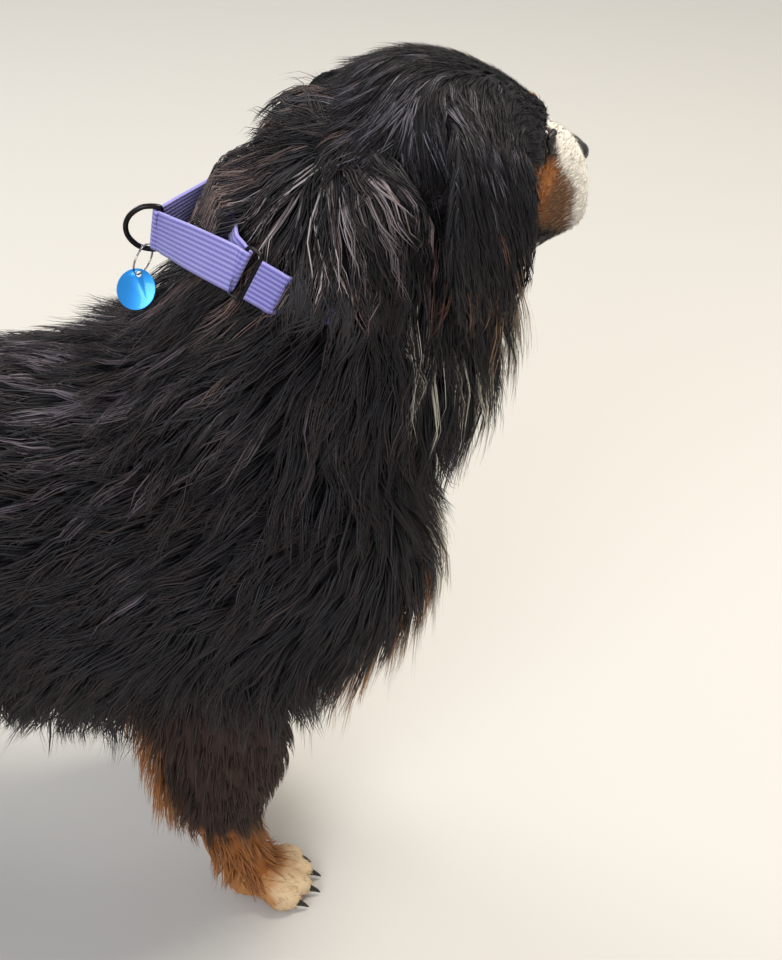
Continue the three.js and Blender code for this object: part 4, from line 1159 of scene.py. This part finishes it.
def eye(side):
    """A ball turned to look ahead and outwards, with a low cornea over iris and pupil."""
    bpy.ops.mesh.primitive_uv_sphere_add(segments=64, ring_count=48, radius=1.0)
    obj = bpy.context.object
    obj.name = obj.data.name = "eyeball_right" if side < 0 else "eyeball_left"
    mesh = obj.data
    gaze = unit(np.array([0.84, side * 0.52, 0.02]))
    a = unit(np.cross([0.0, 0.0, 1.0], gaze))
    b = np.cross(gaze, a)
    verts = vertex_places(mesh)
    away = np.degrees(np.arccos(np.clip(verts[:, 2], -1, 1)))
    radius = (EYE_RADIUS - 0.25) * (1 + 0.035 * smoothstep(*CORNEA, away))
    turned = verts[:, :1] * a + verts[:, 1:2] * b + verts[:, 2:] * gaze
    placed = world(from_head(turned * radius[:, None] + EYES_AT * [1, side, 1]))
    mesh.vertices.foreach_set("co", placed.ravel())
    ring = np.arctan2(verts[:, 1], verts[:, 0])
    fibre = 0.8 + 0.2 * np.sin(ring * 23) * np.sin(ring * 9 + 1)
    # Outwards from the middle: pupil, dark brown iris with its paler fibres, dark rim, brown white
    iris = colour("#2a140a") * np.ones((len(verts), 1))
    iris = mix(iris, colour("#4f2b14"), smoothstep(*IRIS_FIBRES, away) * fibre)
    iris = mix(iris, colour("#120806"), smoothstep(*IRIS_RIM, away))
    shade = mix(iris, colour("#030203"), smoothstep(*PUPIL_EDGE, away))
    shade = mix(shade, colour("#2a1d19"), smoothstep(*WHITE_BEGINS, away))
    paint(mesh, "eye_colour", shade)
    mesh.shade_smooth()
    return obj


def tube(name, points, radii, normals=None, flat=1.0, sides=10, closed=False):
    """A round or flattened tube through points in metres, closed or with two flat ends."""
    points = np.asarray(points, float)
    count = len(points)
    if closed:
        along = unit(np.roll(points, -1, 0) - np.roll(points, 1, 0))
    else:
        along = unit(np.gradient(points, axis=0))
    if normals is None:
        middle = points.mean(0)
        normals = unit(np.cross(points[0] - middle, points[count // 4] - middle)) * np.ones((count, 1))
    across = unit(np.cross(along, normals))
    up = unit(np.cross(across, along))
    radii = np.broadcast_to(np.asarray(radii, float), (count,))
    angle = np.linspace(0, 2 * math.pi, sides, endpoint=False)
    ring = across[:, None] * np.cos(angle)[None, :, None]
    ring = ring + up[:, None] * (np.sin(angle) * flat)[None, :, None]
    verts = (points[:, None] + ring * radii[:, None, None]).reshape(-1, 3)
    obj = mesh_object(name, verts, ring_faces(count, sides, closed))
    obj.data.shade_smooth()
    return obj


def lid(side, lift, name):
    """One fold of skin laid on the ball from corner to corner."""
    out = unit(np.array([0.76, side * 0.63, 0.1]))
    along = np.array([0.6, -side * 0.76, -0.24])
    along = unit(along - out * along.dot(out))
    over = unit(np.cross(out, along))
    if over[2] < 0:
        over = -over
    centre = EYES_AT * [1, side, 1]
    share = np.linspace(-1, 1, 25)
    # Half the eye's opening is 13.4 mm wide, and the fold lies just above the ball
    bow = lift * np.maximum(0, 1 - share**2) ** 0.75
    flat = centre + along * (share * 13.4)[:, None] + over * bow[:, None]
    height = np.sqrt(np.maximum(16, (EYE_RADIUS + 0.6) ** 2 - ((flat - centre) ** 2).sum(1)))
    at = flat + out * (height - 0.7)[:, None]
    normals = unit(at - centre)
    radii = (1.0 + 2.0 * np.maximum(0, 1 - share**2) ** 0.5) / 1000
    return tube(name, world(from_head(at)), radii, normals @ HEAD_TURN.T, flat=0.75, sides=12)


# How finely the nose is fused, and again after its nostrils are cut, in metres
NOSE_FUSED, NOSE_CUT = 0.0011, 0.0009


def nose():
    """Nose leather from a few rounded forms, fused, with comma-shaped nostrils cut in."""
    x, y, z = NOSE_AT
    forms = [
        ball((x - 1, y, z + 1), (14.5, 19, 11.5)), ball((x + 6, y, z + 2), (9.5, 15, 9)),
        ball((x - 1, y, z - 12), (13, 8, 13)),
        ball((x + 4, y + 12, z - 1), (10.5, 8.5, 10)), ball((x + 4, y - 12, z - 1), (10.5, 8.5, 10)),
    ]
    points, faces = merged(forms)
    obj = mesh_object("nose_leather", world(from_head(points)), faces)
    modify(obj, "REMESH", mode="VOXEL", voxel_size=NOSE_FUSED, adaptivity=0.0)
    modify(obj, "SMOOTH", factor=0.5, iterations=6)
    holes = []
    for side in (-1, 1):
        tilt = Matrix.Rotation(side * 0.62, 3, "Z") @ Matrix.Rotation(-0.2, 3, "Y")
        turned_out = Matrix.Rotation(side * 1.15, 3, "Z")
        for radii, spin, at in [
            ((10, 3.8, 5.2), tilt, (x + 13.5, side * 8.8, z - 1.5)),
            ((10, 1.9, 4.8), turned_out, (x + 8, side * 15.5, z - 4)),
        ]:
            points, faces = ball((0, 0, 0), radii)
            points = points @ np.array(spin).T + list(at)
            holes.append(mesh_object("nostril", world(from_head(points)), faces))
    for hole in holes:
        activate(hole)
        bpy.ops.object.mode_set(mode="EDIT")
        bpy.ops.mesh.select_all(action="SELECT")
        bpy.ops.mesh.remove_doubles(threshold=1e-6)
        bpy.ops.mesh.normals_make_consistent(inside=False)
        bpy.ops.object.mode_set(mode="OBJECT")
        modify(obj, "BOOLEAN", operation="DIFFERENCE", object=hole, solver="EXACT")
        bpy.data.objects.remove(hole)
    modify(obj, "REMESH", mode="VOXEL", voxel_size=NOSE_CUT, adaptivity=0.0)
    modify(obj, "SMOOTH", factor=0.5, iterations=4)
    obj.data.shade_smooth()
    return obj


def head_places(t, angle, out):
    """Places on the skin of the head, in the head's own frame."""
    surface = Drawn(**HEAD, grow=HEAD_GROW + out)
    return push_head(surface.point(np.asarray(t, float), np.asarray(angle, float)))


# The stretch of the head that the lip's edge runs along, and how far it stands out of the skin
LIP_T = np.linspace(0.615, 0.968, 30)
LIP_OUT = 4.0


def lip_places(side):
    """The edge of the upper lip, from the corner of the mouth to the cleft below the nose."""
    share = (LIP_T - LIP_T[0]) / (LIP_T[-1] - LIP_T[0])
    below = np.radians(40 + 16 * np.minimum(1, share * 3) + 34 * share**3)
    angle = math.pi + below if side < 0 else -below
    return head_places(LIP_T, angle, LIP_OUT)


def lips():
    """Dark edges of the upper lips, and the cleft from them up to the nose."""
    made = []
    for side in (-1, 1):
        points = lip_places(side)
        middle = np.array([90.0, 0, -50])
        normals = unit(points - middle)
        share = np.linspace(0, 1, len(points))
        radii = (1.2 + 2.0 * np.sin(math.pi * np.clip(share * 0.9 + 0.08, 0, 1))) / 1000
        made.append(tube("lip", world(from_head(points)), radii, normals @ HEAD_TURN.T, flat=0.8, sides=10))
    rise = np.linspace(0, 1, 12)
    top = NOSE_AT + [8, 0, -20]
    bottom = lip_places(1)[-1] * [1, 0, 1]
    cleft = bottom + (top - bottom) * rise[:, None]
    cleft[:, 0] += np.sin(math.pi * rise) * 3
    forward = np.tile([1.0, 0, 0], (12, 1)) @ HEAD_TURN.T
    made.append(tube("lip", world(from_head(cleft)), 0.0011 * np.ones(12), forward, sides=8))
    return join(made, "lip_edges")


def claws():
    """Short dark claws, one curved cone before each toe."""
    made = []
    s = np.linspace(0, 1, 7)
    radii = (3.3 * (1 - s) ** 0.7 + 0.35) / 1000
    up = np.tile([0.3, 0, 1.0], (7, 1))
    for _, x, y in foot_places():
        for off, ahead in TOES:
            forward = x + ahead + 13 + 13 * s
            height = 10.5 - 1.5 * s - 6 * s**2
            points = np.stack([forward, np.full(7, y + off * 1.05), height], 1)
            made.append(tube("claw", world(points), radii, up, flat=1.25, sides=10))
    return join(made, "claws")


# The collar: band round the throat, control loop over the nape, rings and tag

SLIDE_ANGLE = math.radians(52)
# Rings: half their width, the way between or out from their bars, and the radius of their wire
SLIDE_HALF, SLIDE_GAP, SLIDE_WIRE = 22.5, 6.5, 1.7
LEAD_HALF, LEAD_REACH, LEAD_WIRE = 22.0, 27.0, 2.3
LEAD_BOW_FROM = 3
LEAD_RING_AT = np.array([-62.0, -6, 722])
TAG_AT = np.array([-84.0, -16, 670])
TAG_FACE = unit(np.array([-0.25, -0.78, 0.58]))
TAG_RADIUS = 17.5
TAG_THICK = 1.6
TAG_HOLE_RADIUS, TAG_HOLE_INSET = 2.6, 4.6
# How deep the strap lies in the hair: the band round the throat, and the loop over the nape
BAND_SUNK = -21
NAPE_SUNK = -11
GAP = 0.35
SIDEWAYS = np.array([0.0, 1, 0])


def on_collar(angle, out=0.0):
    """A place on the strap's middle line, at an angle from the nape and so far outside it."""
    back = COLLAR_BACK * math.cos(angle) * (COLLAR_FORE + out)
    return COLLAR_AT + back + SIDEWAYS * math.sin(angle) * (COLLAR_SIDE + out)


def slide_frame(side):
    """A slide ring's near bar, its way along the strap, and the place of its far bar."""
    bar = on_collar(SLIDE_ANGLE * side, 5.5)
    towards = on_collar((SLIDE_ANGLE + 0.12) * side, 3.5) - bar
    along = unit(towards - COLLAR_UP * towards.dot(COLLAR_UP))
    return bar, along, bar + along * (2 * SLIDE_GAP + SLIDE_WIRE + GAP)


def lead_frame():
    """The D ring's way across the strap, and its way back from the dog."""
    wide = unit(np.array([0.16, -0.1, 0.98]))
    back = np.array([-0.97, -0.08, 0])
    return wide, unit(back - wide * back.dot(wide))


def lead_bow(angle):
    """A place on the D ring's bow: across the strap, and back."""
    return math.cos(angle) * LEAD_HALF, LEAD_BOW_FROM + math.sin(angle) * (LEAD_REACH - LEAD_BOW_FROM)


def round_bar(bar, wide, start, radius, steps=9):
    """Places on the half turn that a strap takes round a bar."""
    first = start - bar
    first = unit(first - wide * first.dot(wide))
    other = np.cross(wide, first)
    turns = np.linspace(0, math.pi, steps)
    return [bar + (first * math.cos(a) + other * math.sin(a)) * radius for a in turns]


def strap(name, places, wides, closed):
    """A woven strap: rounded edges, with its own map in metres along and across it."""
    at = np.asarray(places, float)
    wides = np.asarray(wides, float)
    count = len(at)
    along = unit(np.roll(at, -1, 0) - np.roll(at, 1, 0)) if closed else unit(np.gradient(at, axis=0))
    wide = unit(wides - along * (wides * along).sum(1)[:, None])
    out = unit(np.cross(wide, along))
    profile = []
    for s in np.linspace(-1, 1, 13):
        profile.append((s * (STRAP_WIDE / 2 - 0.5), STRAP_THICK / 2 * (1 - 0.12 * s**6)))
    section = [(-STRAP_WIDE / 2, 0)] + profile + [(STRAP_WIDE / 2, 0)] + [(w, -o) for w, o in profile[::-1]]
    section = np.array(section)
    sides = len(section)
    rows = count if closed else count - 1
    verts = at[:, None] + wide[:, None] * section[None, :, :1] + out[:, None] * section[None, :, 1:]
    step = np.linalg.norm(np.roll(at, -1, 0) - at, axis=1)
    distance = np.concatenate([[0], np.cumsum(step)])
    obj = mesh_object(name, world(verts.reshape(-1, 3)), ring_faces(count, sides, closed))
    here, there = distance[:rows], distance[1 : rows + 1]
    edge, next_edge = section[:, 0], np.roll(section[:, 0], -1)
    u = np.stack([here, here, there, there], 1)[:, None]
    v = np.stack([edge, next_edge, next_edge, edge], 1)[None]
    uvs = np.stack(np.broadcast_arrays(u, v), -1).reshape(-1, 2)
    if not closed:
        uvs = np.concatenate([uvs, np.zeros((2 * sides, 2))])
    layer = obj.data.uv_layers.new(name="Strap")
    layer.data.foreach_set("uv", (uvs / 1000).astype(np.float32).ravel())
    obj.data.shade_smooth()
    return obj


def resample(points, closed, spacing=3.0):
    """Evenly spaced places on a smooth line through points."""
    points = np.asarray(points, float)
    if closed:
        points = np.concatenate([points, points[:1]])
    fine = spline(points, np.linspace(0, 1, len(points) * 24))
    step = np.linalg.norm(np.diff(fine, axis=0), axis=1)
    distance = np.concatenate([[0], np.cumsum(step)])
    count = int(distance[-1] / spacing)
    where = np.linspace(0, distance[-1], count, endpoint=not closed)
    return np.stack([np.interp(where, distance, fine[:, i]) for i in range(3)], 1), where / distance[-1]


def collar_band():
    """The band round the throat, from slide ring to slide ring."""
    start = SLIDE_ANGLE + 0.3
    angles = np.linspace(start, 2 * math.pi - start, 40)
    # Past the neck's sides the band sinks into the throat's deep hair
    sunk = smoothstep(math.radians(73), math.radians(84), math.pi - np.abs(angles - math.pi)) * BAND_SUNK
    places = [slide_frame(1)[2]] + [on_collar(a, out) for a, out in zip(angles, sunk)] + [slide_frame(-1)[2]]
    at, _ = resample(places, False)
    return strap("webbing_band", at, np.tile(COLLAR_UP, (len(at), 1)), False)


def collar_loop():
    """The control loop: over the nape, through both slide rings and back round the D ring."""
    turn_radius = LEAD_WIRE + STRAP_THICK / 2 + GAP * 4
    slide_turn = SLIDE_WIRE + STRAP_THICK / 2 + GAP * 2
    lead_wide, _ = lead_frame()
    nape_angles = np.linspace(-SLIDE_ANGLE + 0.1, SLIDE_ANGLE - 0.1, 21)
    nape = [on_collar(a, NAPE_SUNK * smoothstep(0.76, 0.5, abs(a))) for a in nape_angles]
    left = round_bar(slide_frame(1)[0], COLLAR_UP, COLLAR_AT, slide_turn)
    right = round_bar(slide_frame(-1)[0], -COLLAR_UP, COLLAR_AT, slide_turn)[::-1]
    lead = round_bar(LEAD_RING_AT, lead_wide, LEAD_RING_AT + SIDEWAYS, turn_radius)
    between = [0.2, 0.4, 0.6, 0.8]
    first = [left[-1] + (lead[0] - left[-1]) * s for s in between]
    second = [lead[-1] + (right[0] - lead[-1]) * s for s in between]
    places = np.array(nape + left + first + lead + second + right)
    near_lead = np.exp(-(((places - LEAD_RING_AT) ** 2).sum(1)) / 45**2)
    wides = unit(COLLAR_UP * (1 - near_lead[:, None]) + lead_wide * near_lead[:, None])
    at, share = resample(places, True, 2.2)
    steps = np.linalg.norm(np.diff(np.concatenate([places, places[:1]]), axis=0), axis=1)
    stations = np.concatenate([[0], np.cumsum(steps)]) / steps.sum()
    closed_wides = np.concatenate([wides, wides[:1]])
    wide = np.stack([np.interp(share, stations, closed_wides[:, i]) for i in range(3)], 1)
    return strap("webbing_loop", at, wide, True)


def ring_through(name, points, wire):
    """A closed ring of wire through points."""
    at, _ = resample(points, True, 1.2)
    return tube(name, world(at), wire / 1000, closed=True, sides=14)


def slide_ring(side):
    """A flat oblong ring with rounded ends."""
    bar, along, _ = slide_frame(side)
    corner = SLIDE_HALF - 1
    spots = [
        (0, 0), (corner * 0.6, 0), (corner, 0.3), (SLIDE_HALF, SLIDE_GAP), (corner, 2 * SLIDE_GAP - 0.3),
        (corner * 0.6, 2 * SLIDE_GAP), (0, 2 * SLIDE_GAP), (-corner * 0.6, 2 * SLIDE_GAP),
        (-corner, 2 * SLIDE_GAP - 0.3), (-SLIDE_HALF, SLIDE_GAP), (-corner, 0.3), (-corner * 0.6, 0),
    ]
    points = [bar + COLLAR_UP * w + along * a for w, a in spots]
    return ring_through("slide_right" if side < 0 else "slide_left", points, SLIDE_WIRE)


def lead_ring():
    """A D ring: a straight bar in the loop's fold and a round bow behind it."""
    wide, back = lead_frame()
    spots = [(LEAD_HALF * 0.5, 0), (LEAD_HALF * 0.93, 0.4)]
    spots += [lead_bow(math.pi * (i + 1) / 8) for i in range(7)]
    spots += [(-LEAD_HALF * 0.93, 0.4), (-LEAD_HALF * 0.5, 0), (0, 0)]
    points = [LEAD_RING_AT + wide * w + back * b for w, b in spots]
    return ring_through("lead_d_ring", points, LEAD_WIRE)


def tag_hole():
    """The tag's way up and the place of its hole."""
    up = np.array([0.0, 0, 1])
    up = unit(up - TAG_FACE * up.dot(TAG_FACE))
    return up, TAG_AT + up * (TAG_RADIUS - TAG_HOLE_INSET)


def tag_ring():
    """A split ring of nearly two turns through the tag's hole and round the D ring."""
    wide, back = lead_frame()
    across_strap, behind = lead_bow(math.pi * 0.92)
    low = LEAD_RING_AT + wide * across_strap + back * behind
    _, hole = tag_hole()
    rise = unit(low - hole)
    top = low + rise * (LEAD_WIRE + 0.9 + 2 * GAP)
    radius = np.linalg.norm(top - hole) / 2
    across = unit(TAG_FACE - rise * TAG_FACE.dot(rise))
    normal = np.cross(rise, across)
    turns = np.linspace(0, 2 * math.pi * 1.9, 96)
    middle = (top + hole) / 2
    points = []
    for t in turns:
        lift = normal * (t / (2 * math.pi) - 0.95) * 0.9
        points.append(middle + (rise * math.cos(t) + across * math.sin(t)) * radius + lift)
    return tube("split_ring", world(points), 0.00048, np.tile(normal, (len(points), 1)), sides=8)


def tag():
    """A plain round tag with rounded edges and a hole."""
    up, _ = tag_hole()
    bpy.ops.mesh.primitive_cylinder_add(vertices=96, radius=TAG_RADIUS / 1000, depth=TAG_THICK / 1000)
    disc = bpy.context.object
    disc.name = disc.data.name = "round_tag"
    hole_at = (0, (TAG_RADIUS - TAG_HOLE_INSET) / 1000, 0)
    radius = TAG_HOLE_RADIUS / 1000
    bpy.ops.mesh.primitive_cylinder_add(vertices=40, radius=radius, depth=0.006, location=hole_at)
    hole = bpy.context.object
    modify(disc, "BOOLEAN", operation="DIFFERENCE", object=hole, solver="EXACT")
    bpy.data.objects.remove(hole)
    modify(disc, "BEVEL", width=0.0004, segments=3, limit_method="ANGLE", angle_limit=math.radians(40))
    across = np.cross(up, TAG_FACE)
    frame_at = np.eye(4)
    frame_at[:3, 0], frame_at[:3, 1], frame_at[:3, 2] = across, up, TAG_FACE
    frame_at[:3, 3] = world(TAG_AT)
    disc.data.transform(Matrix(frame_at))
    disc.data.shade_smooth()
    return disc


# Putting it together

skin, labels = build_skin()
colour_skin(skin, labels)
coats = grow_coat(skin, labels)

# Long hair is a smooth fibre: many fine strands together give a wide, soft sheen
long_hair = painted("black_and_tan_hair", "coat_colour", Roughness=0.52, Specular_IOR_Level=0.42)
# Short under hair stands every way, so it is nearly matt
skin_hair = painted("short_under_hair", "coat_colour", Roughness=0.7, Specular_IOR_Level=0.25)
skin.data.materials.append(skin_hair)
for piece in coats:
    piece.data.materials.append(long_hair)

lids = []
for side, name in ((-1, "right"), (1, "left")):
    lids += [lid(side, 8.9, f"lid_upper_{name}"), lid(side, -8.0, f"lid_lower_{name}")]
lip_piece = lips()
# Bare skin of lids and lips: dark, finely pored and with little gloss
lid_skin = pebbled("dark_lid_skin", colour("#0c090a"), PORE_SPACING, 0.35, 0.0003, Roughness=0.55)
for obj in [*lids, lip_piece]:
    obj.data.materials.append(lid_skin)
eyes = [eye(-1), eye(1)]
# An eyeball under its film of tears: small sharp highlights over a soft iris
wet_film = dict(Roughness=0.08, Specular_IOR_Level=0.25, Coat_Weight=0.45, Coat_Roughness=0.02)
eye_wet = painted("wet_eye", "eye_colour", **wet_film)
for obj in eyes:
    obj.data.materials.append(eye_wet)
nose_piece = nose()
# Nose leather: pebbled and kept moist, so its gloss is broken up into many small lights
moist_film = dict(Roughness=0.3, Coat_Weight=0.35, Coat_Roughness=0.2)
nose_leather = pebbled("moist_nose_leather", colour("#131114"), PEBBLE_SPACING, 0.55, 0.0004, **moist_film)
nose_piece.data.materials.append(nose_leather)
claw_piece = claws()
# Claw horn, worn smooth by the ground: a satin gloss
claw_piece.data.materials.append(plain("dark_claw_horn", colour("#1b1614"), Roughness=0.35))

band, loop = collar_band(), collar_loop()
nylon = webbing_material()
band.data.materials.append(nylon)
loop.data.materials.append(nylon)
rings = [slide_ring(-1), slide_ring(1), lead_ring(), tag_ring()]
# Steel wire, tumbled smooth and plated black, or drawn bright: clear narrow reflections
black_metal = plain("black_plated_steel", colour("#2a292b"), Roughness=0.3, Metallic=1.0)
bright_metal = plain("bright_spring_steel", colour("#b9b6b0"), Roughness=0.22, Metallic=1.0)
for obj in rings[:3]:
    obj.data.materials.append(black_metal)
rings[3].data.materials.append(bright_metal)
tag_piece = tag()
# Aluminium sheet, anodised and dyed blue: metal under a thin clear film
tag_piece.data.materials.append(
    plain("blue_anodised_aluminium", colour("#1287d6"), Roughness=0.28, Metallic=0.55, Coat_Weight=0.4)
)

# Which pieces stand for which CAD nodes

FLESH = [
    "trunk", "neck", "head", "ear_right", "ear_left", "foreleg_right", "foreleg_left",
    "thigh_right", "thigh_left", "hindfoot_right", "hindfoot_left", "tail",
]
for piece in [skin, *coats, *lids, lip_piece, *eyes, nose_piece, claw_piece, band, loop, *rings, tag_piece]:
    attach(piece, "root")
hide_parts(*FLESH)
for obj, node, slot in [
    (eyes[0], "eye_right", "eye"), (eyes[1], "eye_left", "eye"),
    (nose_piece, "nose", "nose_leather"), (tag_piece, "tag", "tag_metal"),
    (band, "collar_band", "webbing"), (loop, "collar_loop", "webbing"),
    (rings[0], "slide_ring_right", "ring_metal"), (rings[1], "slide_ring_left", "ring_metal"),
    (rings[2], "lead_ring", "ring_metal"), (rings[3], "tag_ring", "ring_metal"),
]:
    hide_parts(node)

# Floor, light and camera

# The floor is painted board: matt, just below the soles
bpy.ops.mesh.primitive_plane_add(size=60, location=(0, 0, -0.0005))
floor = bpy.context.object
floor.name = "floor"
floor.data.materials.append(plain("pale_floor", colour("#c2c0bb"), Roughness=0.85))

scene = bpy.context.scene
scene.world = bpy.data.worlds.new("studio")
scene.world.use_nodes = True
background = scene.world.node_tree.nodes["Background"]
feed(scene.world.node_tree, background, {"Color": (*colour("#efeeec"), 1), "Strength": 0.7})


def area_light(name, at, target, power, size, tint="#ffffff"):
    """A square soft light that shines at its target."""
    data = bpy.data.lights.new(name, "AREA")
    data.energy, data.size, data.color = power, size, tuple(colour(tint))
    obj = bpy.data.objects.new(name, data)
    obj.location = at
    obj.rotation_euler = (Vector(target) - Vector(at)).to_track_quat("-Z", "Y").to_euler()
    scene.collection.objects.link(obj)


# A warm key light from ahead and above, a cool fill from the camera's side and a rim light from behind
area_light("key", (1.4, 0.5, 3.0), (0.1, 0, 0.5), 92, 0.9, "#fff6e8")
area_light("fill", (-0.9, -2.6, 2.2), (0.1, 0, 0.5), 58, 1.6, "#f2f4ff")
area_light("rim", (-1.7, 1.6, 2.2), (0, 0, 0.5), 36, 1.2)

# The photo's camera: to the dog's right, 1.4 m up and looking down at 37 degrees
LOOKS_DOWN = 37
camera = bpy.data.objects.new("camera", bpy.data.cameras.new("camera"))
scene.collection.objects.link(camera)
camera.location = (0.129 + MIDDLE[0] / 1000, -1.247, 1.398)
camera.rotation_euler = (math.radians(90 - LOOKS_DOWN), 0, 0)
camera.data.lens = 63.75
camera.data.sensor_width = 36
scene.camera = camera
scene.view_settings.view_transform = "Standard"
